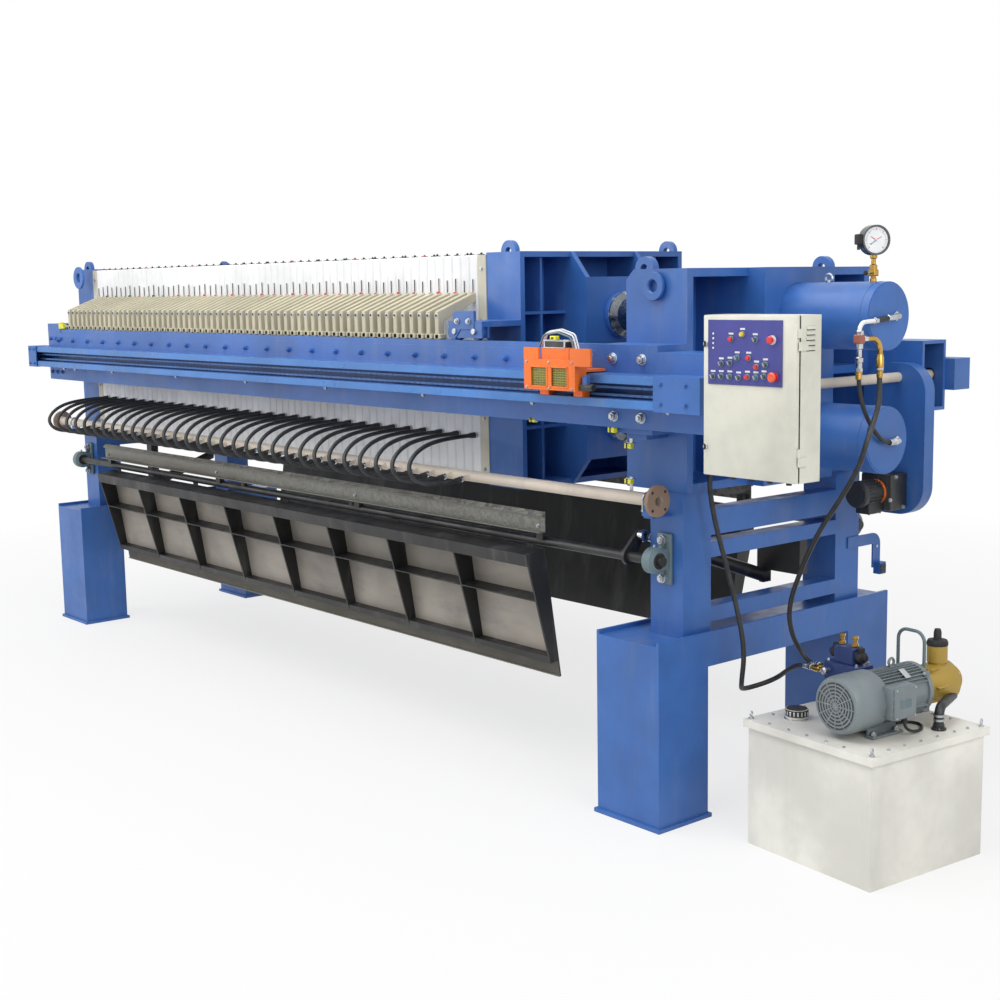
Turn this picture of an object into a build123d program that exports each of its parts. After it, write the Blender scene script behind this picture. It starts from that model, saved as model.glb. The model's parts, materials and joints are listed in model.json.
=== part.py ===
from build123d import *
import os
from math import cos, degrees, radians, sin, tan

os.makedirs("parts", exist_ok=True)

# X runs along the press from the feed end to the cylinder end, Y from the near side
# to the far side, Z up from the floor. The origin is on the floor, under the middle.
near = -1
far = 1

# Fits that many pieces share
sliding_gap = 0.3
bore_clearance = 0.5
running_clearance = 0.1
shaft_hole_clearance = 10.0

# Filter plates and their handles
plate_size = 1250.0
plate_pitch = 76.0
plate_count = 62
plate_foot_z = 1523.0
facing_thickness = 68.0
handle_thickness = 44.0
handle_drop = 100.0
handle_arm = 52.0
handle_post = 42.0
handle_post_length = 150.0

# Heads
head_side_inset = 5.0
head_overlap_z = 11.0
head_skin = 30.0
head_rib = 15.0
rib_setback = 40.0
thrust_plate = 60.0
lug_radius = 60.0
lug_hole = 48.0
fixed_head_depth = 285.0
fixed_cell = 360.0
fixed_lug_setback = 95.0
beam_boss_recess = 20.0
feed_bore = 124.0
feed_boss = 190.0
moving_head_depth = 280.0
moving_cell = 618.0
moving_web = 890.0
centre_box_width = 518.0
centre_box_depth = 400.0
centre_box_slant = 140.0
roller_diameter = 90.0
roller_width = 28.0
roller_setback = 60.0
roller_cheek = 12.0
arm_plate = 30.0
arm_above_strip = 70.0
head_gap = 862.0

# Cylinder seat and cylinders
seat_depth = 400.0
seat_reach_down = 527.0
seat_reach_up = 524.0
seat_wall = 40.0
seat_edge_chamfer = 50.0
seat_lug_setback = 120.0
seat_box_width = 530.0
seat_box_wall = 30.0
seat_box_back = 25.0
seat_box_depth = 505.0
cylinder_spacing = 577.0
cylinder_diameter = 318.0
cylinder_flange_diameter = 380.0
cylinder_flange = 50.0
cylinder_end_cap = 43.0
cylinder_length = 958.0
rod_diameter = 180.0
rod_cap_diameter = 240.0
rod_cap = 40.0
rod_cap_taper = 30.0
rod_inserted = 200.0
rod_hole_margin = 10.0

# Portals and the posts on them, crossbars by height over the portal's top and depth
portal_depth = 420.0
portal_height = 928.0
portal_leg_width = 345.0
portal_lintel = 171.0
portal_plate = 16.0
portal_web_recess = 20.0
foot_overhang = 14.0
foot_thickness = 20.0
foot_hole = 120.0
cylinder_portal_offset = 13.0
post_length_x = 214.0
post_width_y = 198.0
post_wall = 12.0
post_inset = 7.0
post_setback = 164.0
feed_post_setback = 100.0
crossbar_width = 100.0
top_crossbar = (464.0, 125.0)
middle_crossbar = (354.0, 75.0)
low_crossbar = (35.0, 77.0)

# Beams
beam_clearance = 65.0
beam_width = 204.0
beam_below_axis = 217.0
beam_height = 361.0
beam_plate = 18.0
beam_tail = 735.0
tail_strip_setback = 330.0
wear_strip_width = 50.0
wear_strip_height = 31.0
wear_strip_inset = 4.0
feed_block_length = 230.0
feed_block_height = 74.0
saddle_plate = 28.0
saddle_step = 70.0

# Shifter tracks, chain, drive and trolleys
track_depth = 125.0
track_height = 154.0
track_above_beam_foot = 106.0
track_band = 42.0
track_plate = 10.0
track_start = 55.0
track_past_seat = 508.0
end_box_proud = 12.0
end_box_overlap = 4.0
end_box_wall = 8.0
sprocket_box_length = 282.0
idler_box_length = 140.0
chain_inset = 61.0
chain_below_middle = 4.0
chain_pitch_radius = 18.0
chain_thickness = 10.0
chain_width = 18.0
drive_shaft_diameter = 50.0
shaft_past_track = 141.0
cover_width = 376.0
cover_height = 776.0
cover_corner = 150.0
cover_depth = 80.0
cover_inset = 5.0
cover_rise = 73.0
cover_offset = 22.0
gear_motor_rise = 126.0
gear_case = (190.0, 140.0)
gear_motor_diameter = 140.0
gear_motor_length = 165.0
motor_box = (90.0, 110.0, 70.0)
shifter_before_seat = 290.0
shifter_length = 360.0
shifter_height = 145.0
shifter_depth = 75.0
shifter_sheet = 3.0
shifter_clearance = 6.0
shifter_below_track = 81.0
window_rise = 20.0
shifter_wing = (105.0, 55.0)
shifter_window = (108.0, 86.0)
shoe_length = 60.0
shoe_depth = 44.0
carriage_plate = 12.0

# Flaps under the plates
shaft_beside_post = 84.0
shaft_below_plates = 233.0
flap_shaft_diameter = 48.0
shaft_past_bearing = 60.0
flap_past_pack_start = 412.0
flap_past_pack_end = 682.0
flap_length = 745.0
flap_hang = 8.6
flap_lip = 90.0
flap_top_gap = 12.0
flap_sheet = 6.0
flap_face_offset = 14.0
flap_bays = 8
flap_rail = 65.0
flap_plate = 6.0
flap_middle = 295.0
flap_foot_bar = 35.0
rib_thickness = 12.0
rib_depth_top = 125.0
rib_depth_foot = 54.0
strap_count = 5
strap_length = 60.0
strap_inset = 80.0
gutter_height = 108.0
gutter_above_shaft = 54.0
gutter_outside_shaft = 33.0
gutter_lip = 21.0
gutter_flange = 42.0
gutter_sheet = 5.0
gutter_overrun = 43.0
gutter_lugs = 4
gutter_lug = 50.0
bearing_base = (90.0, 40.0, 250.0)
bearing_length = 70.0
bearing_housing = 100.0
crank_radius = 120.0
crank_angle = 52.0
crank_hub = 84.0
crank_end = 56.0
crank_thickness = 20.0
crank_before_post = 60.0
crank_past_post = 8.0
ram_beside_crank = 6.0
ram_pivot_y = 221.0
ram_pivot_below_shaft = 230.0
ram_diameter = 70.0
ram_rod_diameter = 36.0
ram_eye = 60.0
ram_eye_hole = 26.0
ram_eye_thickness = 30.0
ram_body_share = 0.58
ram_floor = 100.0

# Limit switch on the far post
switch_arm = (183.0, 60.0)
switch_leg = (66.0, 190.0)
switch_plate = 8.0
switch_height = 342.0
switch_case = (44.0, 52.0, 64.0)

# Squeeze manifold and its hoses
pipe_beside_post = 126.0
pipe_above_plate_foot = 65.0
manifold_diameter = 60.0
manifold_bore = 50.0
manifold_overrun = 30.0
manifold_past_seat = 330.0
manifold_flange_diameter = 154.0
manifold_flange = 20.0
bolt_circle = 120.0
bolt_hole = 16.0
stub_length = 45.0
stub_width = 26.0
stub_droop = 8.0
stub_offset = 177.0
clamp_width = 60.0
clamp_plate = 12.0
hose_diameter = 24.0
hose_root_above_foot = 263.0

# Control cabinet
cabinet_past_beam = 140.0
cabinet_width = 500.0
cabinet_height = 680.0
cabinet_depth = 150.0
cabinet_below_axis = 358.0
cabinet_outside_track = 84.0
cabinet_sheet = 3.0
door_depth = 22.0
door_gap = 5.0
panel_left = 30.0
panel_right = 70.0
panel_top = 20.0
panel_height = 270.0
panel_raise = 4.0
stop_button = 40.0
lock_diameter = 24.0
lock_inset = 22.0
hinge_radius = 6.0
hinge_offset = 9.0
hinge_length = 36.0
hinge_inset = 70.0
bracket_tube = 60.0
bracket_levels = (110.0, 410.0)

# Power unit, turned a little on the floor
tank_past_beam = 440.0
tank_y = -340.0
unit_turn = 5.2
tank_size = 740.0
tank_sheet = 5.0
unit_height = 600.0
lid_overhang = 18.0
lid_sheet = 6.0
lid_rim = 37.0
filler = (-240.0, -191.0, 104.0, 48.0)
motor_offset = 108.6
motor_axis_height = 157.0
fan_cover_diameter = 264.0
motor_diameter = 242.0
fan_cover_start = -320.0
fan_cover_end = -110.0
motor_end = 200.0
motor_foot = (200.0, 217.0, 50.0)
terminal_box = (60.0, 152.0, 155.0)
bell_start_diameter = 160.0
bell_diameter = 200.0
bell_length = 190.0
bell_flange = 20.0
pump_diameter = 140.0
pump_length = 60.0
filter_diameter = 90.0
filter_station = 360.0
filter_height = 330.0
filter_cap = (96.0, 25.0)
filter_knob = (36.0, 51.0)
suction_diameter = 48.0
return_diameter = 16.0
valve_block = (210.0, 120.0, 173.0)
valve_block_place = (-175.0, 80.0, 145.0)
port_diameter = 34.0
port_length = 108.0
cable_diameter = 14.0

terminal_start = -140.0
suction_foot = (274.0, 177.0)
return_foot = (-27.0, 250.0)
return_height = 405.0
port_rise = 30.0
port_spacing = 50.0

# Gauge, fittings and hoses at the cylinders' ends
gauge_setback = 88.0
gauge_diameter = 140.0
gauge_depth = 55.0
gauge_height = 190.0
gauge_stem = 28.0
pipe_offset = 32.0
port_y = 52.0
tee_y = -260.0
tee_z = 2340.0
elbow_y = -103.0
elbow_drop = 137.0
side_port_setback = 443.0
side_port_length = 41.0
fitting_diameter = 24.0
cap_pipe_diameter = 22.0
tee_size = 44.0
hydraulic_hose = 24.0
tube_flats = 8
cap_hose = 20.0

# Distances from the centre plane, each from the one inside it
plate_half = plate_size / 2
head_half = plate_half - head_side_inset
beam_inner_y = plate_half + beam_clearance
beam_outer_y = beam_inner_y + beam_width
strip_outer_y = beam_outer_y - wear_strip_inset
track_outer_y = beam_outer_y + track_depth
chain_y = track_outer_y - chain_inset
post_outer_y = beam_inner_y - post_inset
flap_shaft_y = post_outer_y + shaft_beside_post
manifold_y = post_outer_y + pipe_beside_post
cabinet_front_y = track_outer_y + cabinet_outside_track
portal_width = 2 * beam_outer_y

# Levels over the floor
press_axis_z = plate_foot_z + plate_half
head_low_z = plate_foot_z - head_overlap_z
head_high_z = press_axis_z + plate_half + head_overlap_z
beam_low_z = press_axis_z - beam_below_axis
beam_top_z = beam_low_z + beam_height
strip_top_z = beam_top_z + wear_strip_height
track_low_z = beam_low_z + track_above_beam_foot
track_top_z = track_low_z + track_height
chain_z = (track_low_z + track_top_z) / 2 - chain_below_middle
seat_low_z = press_axis_z - seat_reach_down
seat_top_z = press_axis_z + seat_reach_up
cylinder_axes_z = (press_axis_z + cylinder_spacing / 2, press_axis_z - cylinder_spacing / 2)
flap_shaft_z = plate_foot_z - shaft_below_plates
manifold_z = plate_foot_z + pipe_above_plate_foot
hose_root_z = plate_foot_z + hose_root_above_foot
cabinet_low_z = press_axis_z - cabinet_below_axis

# Stations along the press, each from the one before, with the plant centred
press_length = (
    fixed_head_depth + 2 * facing_thickness + plate_count * plate_pitch + moving_head_depth + head_gap
)
lid_reach = (tank_size / 2 + lid_overhang) * (cos(radians(unit_turn)) + sin(radians(unit_turn)))
plant_start = track_start - idler_box_length
plant_end = press_length + beam_tail + tank_past_beam + lid_reach
feed_end_x = -(plant_start + plant_end) / 2
fixed_face_x = feed_end_x + fixed_head_depth
pack_start_x = fixed_face_x + facing_thickness
pack_end_x = pack_start_x + plate_count * plate_pitch
moving_head_x = pack_end_x + facing_thickness
moving_head_back_x = moving_head_x + moving_head_depth
seat_x = moving_head_back_x + head_gap
seat_back_x = seat_x + seat_depth
cylinder_front_x = seat_x + thrust_plate
cylinder_back_x = cylinder_front_x + cylinder_length
side_port_x = cylinder_back_x - side_port_setback
portal_2_x = seat_x - cylinder_portal_offset
beam_end_x = seat_x + beam_tail
track_start_x = feed_end_x + track_start
track_end_x = seat_x + track_past_seat
drive_shaft_x = track_end_x + shaft_past_track
manifold_start_x = feed_end_x - manifold_overrun
manifold_end_x = seat_x + manifold_past_seat
flap_start_x = pack_start_x + flap_past_pack_start
flap_end_x = pack_end_x + flap_past_pack_end
gutter_start_x = flap_start_x - gutter_overrun
gutter_end_x = flap_end_x + gutter_overrun
cabinet_x = beam_end_x + cabinet_past_beam
tank_x = beam_end_x + tank_past_beam
unit = Plane(origin=(tank_x, tank_y, 0), x_dir=(cos(radians(unit_turn)), -sin(radians(unit_turn)), 0))
motor_z = unit_height + motor_axis_height


def block(x_limits, y_limits, z_limits, mode=Mode.ADD):
    """Rectangular plate or block between two limits on each axis, in the part being built."""
    limits = (x_limits, y_limits, z_limits)
    with Locations([tuple((low + high) / 2 for low, high in limits)]):
        Box(*(abs(high - low) for low, high in limits), mode=mode)


def patch(x_limits, y_limits, mode=Mode.ADD):
    """Rectangle between two limits on each axis, in the sketch being drawn."""
    with Locations([((x_limits[0] + x_limits[1]) / 2, (y_limits[0] + y_limits[1]) / 2)]):
        Rectangle(abs(x_limits[1] - x_limits[0]), abs(y_limits[1] - y_limits[0]), mode=mode)


def side_span(side, inner, outer):
    """Y limits of something that lies between two distances from the centre plane."""
    return (side * inner, side * outer)


def bar(start, direction, length, diameter, mode=Mode.ADD):
    """Round bar from a point along a direction, in the part being built."""
    with BuildSketch(Plane(origin=start, z_dir=direction)) as section:
        Circle(diameter / 2)
    extrude(section.sketch, amount=length, mode=mode)


def tube(points, diameter, radii=None):
    """Tube or hose along straight runs joined by arcs, as wide as the runs allow."""
    points = [tuple(Vector(point)) for point in points]
    if radii is None:
        radii = []
        for before, corner, after in zip(points, points[1:], points[2:]):
            arriving = Vector(corner) - Vector(before)
            leaving = Vector(after) - Vector(corner)
            half_turn = radians(arriving.get_angle(leaving)) / 2
            radii.append(0.45 * min(arriving.length, leaving.length) / tan(half_turn))
    with BuildLine() as route:
        FilletPolyline(*points, radius=radii)
    path = route.wires()[0]
    with BuildSketch(Plane(origin=points[0], z_dir=path % 0)) as section:
        RegularPolygon(diameter / 2, tube_flats)
    face = section.sketch
    for run in path.edges().sort_by(path):
        if run.geom_type == GeomType.LINE:
            extrude(face, amount=run.length, dir=run % 0)
            face = face.moved(Location((run @ 1) - (run @ 0)))
        else:
            spoke = (run @ 0) - run.arc_center
            axis = Axis(run.arc_center, spoke.cross(run % 0))
            turn = degrees(run.length / run.radius)
            revolve(face, axis=axis, revolution_arc=turn)
            face = face.rotate(axis, turn)
    print(f"tube {diameter:.0f}: length {path.length:.1f}, bends", [round(radius) for radius in radii])


def save(piece, name):
    """Label a finished piece and write it under that name."""
    piece.part.label = name
    export_step(piece.part, f"parts/{name}.step")


def make_portal(name, low_x):
    """Welded portal: two portal-shaped flanges, skins between them and a recessed top web."""
    high_x = low_x + portal_depth
    opening_width = portal_width - 2 * portal_leg_width
    opening_height = portal_height - portal_lintel - foot_thickness
    web_height = portal_height - portal_web_recess - foot_thickness
    seat = (Align.CENTER, Align.MIN)
    with BuildPart() as portal:
        for plane_x in (low_x, high_x - portal_plate):
            with BuildSketch(Plane.YZ.offset(plane_x)):
                with Locations((0, foot_thickness)):
                    Rectangle(portal_width, portal_height - foot_thickness, align=seat)
                    Rectangle(opening_width, opening_height, align=seat, mode=Mode.SUBTRACT)
            extrude(amount=portal_plate)
        with BuildSketch(Plane.YZ.offset(low_x + portal_plate)):
            with Locations((0, foot_thickness)):
                Rectangle(portal_width, web_height, align=seat)
                Rectangle(
                    portal_width - 2 * portal_plate, web_height - portal_plate, align=seat, mode=Mode.SUBTRACT
                )
                Rectangle(opening_width + 2 * portal_plate, opening_height + portal_plate, align=seat)
                Rectangle(opening_width, opening_height, align=seat, mode=Mode.SUBTRACT)
        extrude(amount=portal_depth - 2 * portal_plate)
        leg_y = (portal_width - portal_leg_width) / 2
        with BuildSketch(Plane.XY):
            with Locations(*[((low_x + high_x) / 2, side * leg_y) for side in (near, far)]):
                Rectangle(portal_depth + 2 * foot_overhang, portal_leg_width + 2 * foot_overhang)
                Circle(foot_hole / 2, mode=Mode.SUBTRACT)
        extrude(amount=foot_thickness)
    save(portal, name)


def make_posts(name, low_x, top_z, crossbars):
    """Two box posts on a portal's web, welded together by crossbars."""
    high_x = low_x + post_length_x
    bottom_z = portal_height - portal_web_recess
    inner_y = post_outer_y - post_width_y
    with BuildPart() as posts:
        with BuildSketch(Plane.XY.offset(bottom_z)):
            for side in (near, far):
                with Locations(((low_x + high_x) / 2, side * (post_outer_y - post_width_y / 2))):
                    Rectangle(post_length_x, post_width_y)
                    Rectangle(post_length_x - 2 * post_wall, post_width_y - 2 * post_wall, mode=Mode.SUBTRACT)
        extrude(amount=top_z - bottom_z)
        for height, depth in crossbars:
            low_z = portal_height + height
            high_z = min(low_z + depth, top_z)
            block((high_x - crossbar_width, high_x), (-inner_y, inner_y), (low_z, high_z))
    save(posts, name)


def lifting_lug(x, half_width, top_z, thickness):
    """Round lifting lugs on both side plates, in the part being built."""
    for distance in (-half_width, half_width - thickness):
        with BuildSketch(Plane.XZ.offset(distance)) as lug:
            with Locations((x, top_z)):
                Circle(lug_radius)
                Circle(lug_hole / 2, mode=Mode.SUBTRACT)
        extrude(lug.sketch, amount=thickness)


def make_fixed_head():
    """Ribbed thrust plate at the feed end, with side bosses that the beams bolt to."""
    back_x = (feed_end_x, fixed_face_x - thrust_plate)
    cell = fixed_cell / 2
    with BuildPart() as head:
        block((fixed_face_x - thrust_plate, fixed_face_x), (-head_half, head_half), (head_low_z, head_high_z))
        for side in (near, far):
            block(back_x, side_span(side, head_half - head_skin, head_half), (head_low_z, head_high_z))
            block(back_x, side_span(side, cell, cell + head_skin), (head_low_z, head_high_z))
            block(
                (feed_end_x, fixed_face_x - beam_boss_recess),
                side_span(side, head_half, beam_inner_y),
                (beam_low_z, beam_top_z),
            )
        rib_levels = (
            head_low_z,
            press_axis_z - cell,
            press_axis_z + cell - head_skin,
            head_high_z - head_skin,
        )
        for rib_z in rib_levels:
            block(back_x, (-head_half, head_half), (rib_z, rib_z + head_skin))
        bar((feed_end_x, 0, press_axis_z), (1, 0, 0), fixed_head_depth - thrust_plate, feed_boss)
        bar((feed_end_x, 0, press_axis_z), (1, 0, 0), fixed_head_depth, feed_bore, mode=Mode.SUBTRACT)
        lifting_lug(fixed_face_x - fixed_lug_setback, head_half, head_high_z, head_skin)
    save(head, "fixed_head")


def make_facing(name, low_x):
    """Polypropylene facing plate that closes the first or last chamber."""
    with BuildPart() as facing:
        block(
            (low_x, low_x + facing_thickness),
            (-plate_half, plate_half),
            (press_axis_z - plate_half, press_axis_z + plate_half),
        )
    save(facing, name)


def make_plates(name, first):
    """Every second filter plate, each with a handle on both sides that rides on the beams."""
    post_top_z = strip_top_z + handle_post_length
    arm_root_z = post_top_z + handle_drop
    with BuildPart() as plate:
        with BuildSketch(Plane.YZ):
            with Locations((0, press_axis_z)):
                Rectangle(plate_size, plate_size)
        extrude(amount=plate_pitch)
        with BuildSketch(Plane.YZ.offset((plate_pitch - handle_thickness) / 2)):
            with BuildLine():
                Polyline(
                    (plate_half, arm_root_z),
                    (strip_outer_y, post_top_z),
                    (strip_outer_y, strip_top_z),
                    (strip_outer_y - handle_post, strip_top_z),
                    (strip_outer_y - handle_post, post_top_z - handle_arm),
                    (plate_half, arm_root_z - handle_arm),
                    close=True,
                )
            make_face()
            mirror(about=Plane.YZ)
        extrude(amount=handle_thickness)
    with BuildPart() as row:
        stations = [pack_start_x + plate_pitch * index for index in range(first, plate_count, 2)]
        with Locations(*[(x, 0, 0) for x in stations]):
            add(plate.part)
    save(row, name)


def make_beams():
    """The two main tie beams: box girders with wear strips, raised feed-end blocks and saddles."""
    with BuildPart() as beams:
        with BuildSketch(Plane.YZ.offset(feed_end_x)):
            for side in (near, far):
                with Locations((side * (beam_inner_y + beam_outer_y) / 2, (beam_low_z + beam_top_z) / 2)):
                    Rectangle(beam_width, beam_height)
                    Rectangle(beam_width - 2 * beam_plate, beam_height - 2 * beam_plate, mode=Mode.SUBTRACT)
        extrude(amount=beam_end_x - feed_end_x)
        tail_x = beam_end_x - tail_strip_setback
        for side in (near, far):
            whole = side_span(side, beam_inner_y, beam_outer_y)
            block(
                (feed_end_x + feed_block_length, seat_x),
                side_span(side, strip_outer_y - wear_strip_width, strip_outer_y),
                (beam_top_z, strip_top_z),
            )
            feed_block = (feed_end_x, feed_end_x + feed_block_length)
            block(feed_block, whole, (beam_top_z, beam_top_z + feed_block_height))
            block((seat_x, tail_x), whole, (beam_top_z, strip_top_z))
            saddles = (
                (saddle_step, beam_low_z - saddle_plate),
                (2 * saddle_step, beam_low_z - 2 * saddle_plate),
            )
            for step, low_z in saddles:
                block(
                    (seat_x + step, tail_x - step),
                    side_span(side, beam_inner_y, beam_outer_y - step / 2),
                    (low_z, low_z + saddle_plate),
                )
        bar(
            (drive_shaft_x, -beam_outer_y, chain_z),
            (0, 1, 0),
            2 * beam_outer_y,
            drive_shaft_diameter + 2 * shaft_hole_clearance,
            mode=Mode.SUBTRACT,
        )
    save(beams, "beams")


def make_tracks():
    """Channel-shaped rails on the beams' outer sides that guide the plate shifters."""
    web_y = beam_outer_y + track_plate
    with BuildPart() as tracks:
        with BuildSketch(Plane.YZ.offset(track_start_x)):
            for side in (near, far):
                patch(side_span(side, beam_outer_y, track_outer_y), (track_low_z, track_top_z))
                patch(
                    side_span(side, web_y, track_outer_y),
                    (track_low_z + track_band, track_top_z - track_band),
                    mode=Mode.SUBTRACT,
                )
        extrude(amount=track_end_x - track_start_x)
    save(tracks, "shifter_tracks")


def make_chain_boxes():
    """Sheet boxes over the chain's sprocket and idler at the two ends of each track."""
    outer_y = track_outer_y + end_box_proud
    heights = (track_low_z - end_box_overlap, track_top_z + end_box_overlap)
    idler_x = track_start_x - idler_box_length
    sprocket_x = track_end_x + sprocket_box_length
    ends = (
        (track_end_x, sprocket_x, track_end_x, sprocket_x - end_box_wall),
        (idler_x, track_start_x, idler_x + end_box_wall, track_start_x),
    )
    with BuildPart() as boxes:
        for side in (near, far):
            for low_x, high_x, hollow_low_x, hollow_high_x in ends:
                block((low_x, high_x), side_span(side, beam_outer_y, outer_y), heights)
                block(
                    (hollow_low_x, hollow_high_x),
                    side_span(side, beam_outer_y + end_box_wall, outer_y - end_box_wall),
                    (heights[0] + end_box_wall, heights[1] - end_box_wall),
                    mode=Mode.SUBTRACT,
                )
        half_span = beam_outer_y + end_box_wall
        bar(
            (drive_shaft_x, -half_span, chain_z),
            (0, 1, 0),
            2 * half_span,
            drive_shaft_diameter + 2 * bore_clearance,
            mode=Mode.SUBTRACT,
        )
    save(boxes, "chain_end_boxes")


def make_chains():
    """The shifter chain on each side, one closed loop in its track's groove."""
    idler_x = track_start_x - idler_box_length / 2
    outer = 2 * chain_pitch_radius + chain_thickness
    inner = 2 * chain_pitch_radius - chain_thickness
    with BuildPart() as chains:
        for side in (near, far):
            with BuildSketch(Plane.XZ.offset(-side * chain_y - chain_width / 2)):
                with Locations(((drive_shaft_x + idler_x) / 2, chain_z)):
                    SlotCenterToCenter(drive_shaft_x - idler_x, outer)
                    SlotCenterToCenter(drive_shaft_x - idler_x, inner, mode=Mode.SUBTRACT)
            extrude(amount=chain_width)
    save(chains, "shifter_chains")


def make_seat():
    """Welded cylinder seat: front plate, box of side, top and bottom plates, and a deep centre box."""
    box_half = seat_box_width / 2
    box_back_x = seat_x + seat_box_depth
    heights = (seat_low_z, seat_top_z)
    with BuildPart() as seat:
        block((seat_x, cylinder_front_x), (-beam_inner_y, beam_inner_y), heights)
        chamfer(seat.edges().filter_by(Axis.Y).group_by(Axis.Z)[-1].sort_by(Axis.X)[0], seat_edge_chamfer)
        for side in (near, far):
            skin = side_span(side, beam_inner_y - seat_wall, beam_inner_y)
            block((cylinder_front_x, seat_back_x), skin, heights)
            box_side = side_span(side, box_half - seat_box_wall, box_half)
            block((cylinder_front_x, box_back_x), box_side, heights)
        for low_z in (seat_low_z, press_axis_z - seat_wall / 2, seat_top_z - seat_wall):
            block((cylinder_front_x, seat_back_x), (-beam_inner_y, beam_inner_y), (low_z, low_z + seat_wall))
        block((box_back_x - seat_box_back, box_back_x), (-box_half, box_half), heights)
        for axis_z in cylinder_axes_z:
            barrel = cylinder_diameter + 2 * bore_clearance
            bar((cylinder_front_x, 0, axis_z), (1, 0, 0), seat_box_depth, barrel, mode=Mode.SUBTRACT)
            rod_hole = rod_diameter + 2 * rod_hole_margin
            bar((seat_x, 0, axis_z), (1, 0, 0), thrust_plate, rod_hole, mode=Mode.SUBTRACT)
        lifting_lug(seat_x + seat_lug_setback, beam_inner_y, seat_top_z, seat_wall)
    save(seat, "cylinder_seat")


def make_cylinder(name, axis_z):
    """Hydraulic cylinder barrel with its mounting flange, rod bore and flat end cap."""
    flange = cylinder_flange_diameter / 2
    barrel = cylinder_diameter / 2
    bore = rod_diameter / 2 + running_clearance
    with BuildPart() as cylinder:
        with BuildSketch(Plane.XZ):
            with BuildLine():
                Polyline(
                    (cylinder_front_x, axis_z + bore),
                    (cylinder_front_x, axis_z + flange),
                    (cylinder_front_x + cylinder_flange, axis_z + flange),
                    (cylinder_front_x + cylinder_flange, axis_z + barrel),
                    (cylinder_back_x, axis_z + barrel),
                    (cylinder_back_x, axis_z),
                    (cylinder_back_x - cylinder_end_cap, axis_z),
                    (cylinder_back_x - cylinder_end_cap, axis_z + bore),
                    close=True,
                )
            make_face()
        revolve(axis=Axis((0, 0, axis_z), (1, 0, 0)))
    save(cylinder, name)


def make_piston_rods():
    """Piston rods with the tapered flange caps that push and hold the moving head."""
    cap_x = moving_head_x + centre_box_depth
    cap_back_x = cap_x + rod_cap
    rod_end_x = cylinder_front_x + rod_inserted
    with BuildPart() as rods:
        for axis_z in cylinder_axes_z:
            with BuildSketch(Plane.XZ):
                with BuildLine():
                    Polyline(
                        (cap_x, axis_z),
                        (cap_x, axis_z + rod_cap_diameter / 2),
                        (cap_back_x, axis_z + rod_cap_diameter / 2),
                        (cap_back_x + rod_cap_taper, axis_z + rod_diameter / 2),
                        (rod_end_x, axis_z + rod_diameter / 2),
                        (rod_end_x, axis_z),
                        close=True,
                    )
                make_face()
            revolve(axis=Axis((0, 0, axis_z), (1, 0, 0)))
    save(rods, "piston_rods")


def make_moving_head():
    """Moving head: thrust plate, box walls, a deep centre box with slanted ends, and roller arms."""
    inner_x = moving_head_x + thrust_plate
    box_back_x = moving_head_x + centre_box_depth
    rib_back_x = moving_head_back_x - rib_setback
    heights = (head_low_z, head_high_z)
    with BuildPart() as head:
        block((moving_head_x, inner_x), (-head_half, head_half), heights)
        for side in (near, far):
            skin = side_span(side, head_half - head_skin, head_half)
            block((inner_x, moving_head_back_x), skin, heights)
            web = side_span(side, moving_web / 2 - head_rib, moving_web / 2)
            block((inner_x, rib_back_x), web, heights)
        for low_z in (head_low_z, press_axis_z - head_skin / 2, head_high_z - head_skin):
            block((inner_x, moving_head_back_x), (-head_half, head_half), (low_z, low_z + head_skin))
        for middle_z in (press_axis_z - moving_cell / 2, press_axis_z + moving_cell / 2):
            rib = (middle_z - head_rib / 2, middle_z + head_rib / 2)
            block((inner_x, rib_back_x), (-head_half, head_half), rib)
        for distance in (-centre_box_width / 2, centre_box_width / 2 - head_skin):
            with BuildSketch(Plane.XZ.offset(distance)):
                with BuildLine():
                    Polyline(
                        (inner_x, head_low_z),
                        (moving_head_back_x, head_low_z),
                        (box_back_x, head_low_z + centre_box_slant),
                        (box_back_x, head_high_z - centre_box_slant),
                        (moving_head_back_x, head_high_z),
                        (inner_x, head_high_z),
                        close=True,
                    )
                make_face()
            extrude(amount=head_skin)
        block(
            (box_back_x - rib_setback, box_back_x),
            (-centre_box_width / 2, centre_box_width / 2),
            (head_low_z + centre_box_slant, head_high_z - centre_box_slant),
        )
        lifting_lug(moving_head_back_x - fixed_lug_setback, head_half, head_high_z, head_skin)
        add_roller_arms()
    save(head, "moving_head")


def add_roller_arms():
    """Arms over the beams with two rollers each between cheeks, in the part being built."""
    arm_low_z = strip_top_z + arm_above_strip
    roller_y = strip_outer_y - wear_strip_width / 2 - roller_width / 2
    axle_z = strip_top_z + roller_diameter / 2 + sliding_gap
    for side in (near, far):
        outer_y = roller_y + roller_width + roller_cheek
        block(
            (moving_head_x, moving_head_back_x),
            side_span(side, head_half, outer_y),
            (arm_low_z, arm_low_z + arm_plate),
        )
        for inner_y in (roller_y - roller_cheek, roller_y + roller_width):
            block(
                (moving_head_x, moving_head_back_x),
                side_span(side, inner_y, inner_y + roller_cheek),
                (strip_top_z + roller_cheek, arm_low_z),
            )
        for roller_x in (moving_head_x + roller_setback, moving_head_back_x - roller_setback):
            bar((roller_x, side * roller_y, axle_z), (0, side, 0), roller_width, roller_diameter)


def stub_direction():
    """Direction in which the manifold's hose stubs point, out and a little down."""
    return Vector(0, -cos(radians(stub_droop)), -sin(radians(stub_droop)))


def plate_stations():
    """Middle of every membrane plate along the press."""
    return [pack_start_x + plate_pitch * (index + 0.5) for index in range(1, plate_count, 2)]


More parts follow.
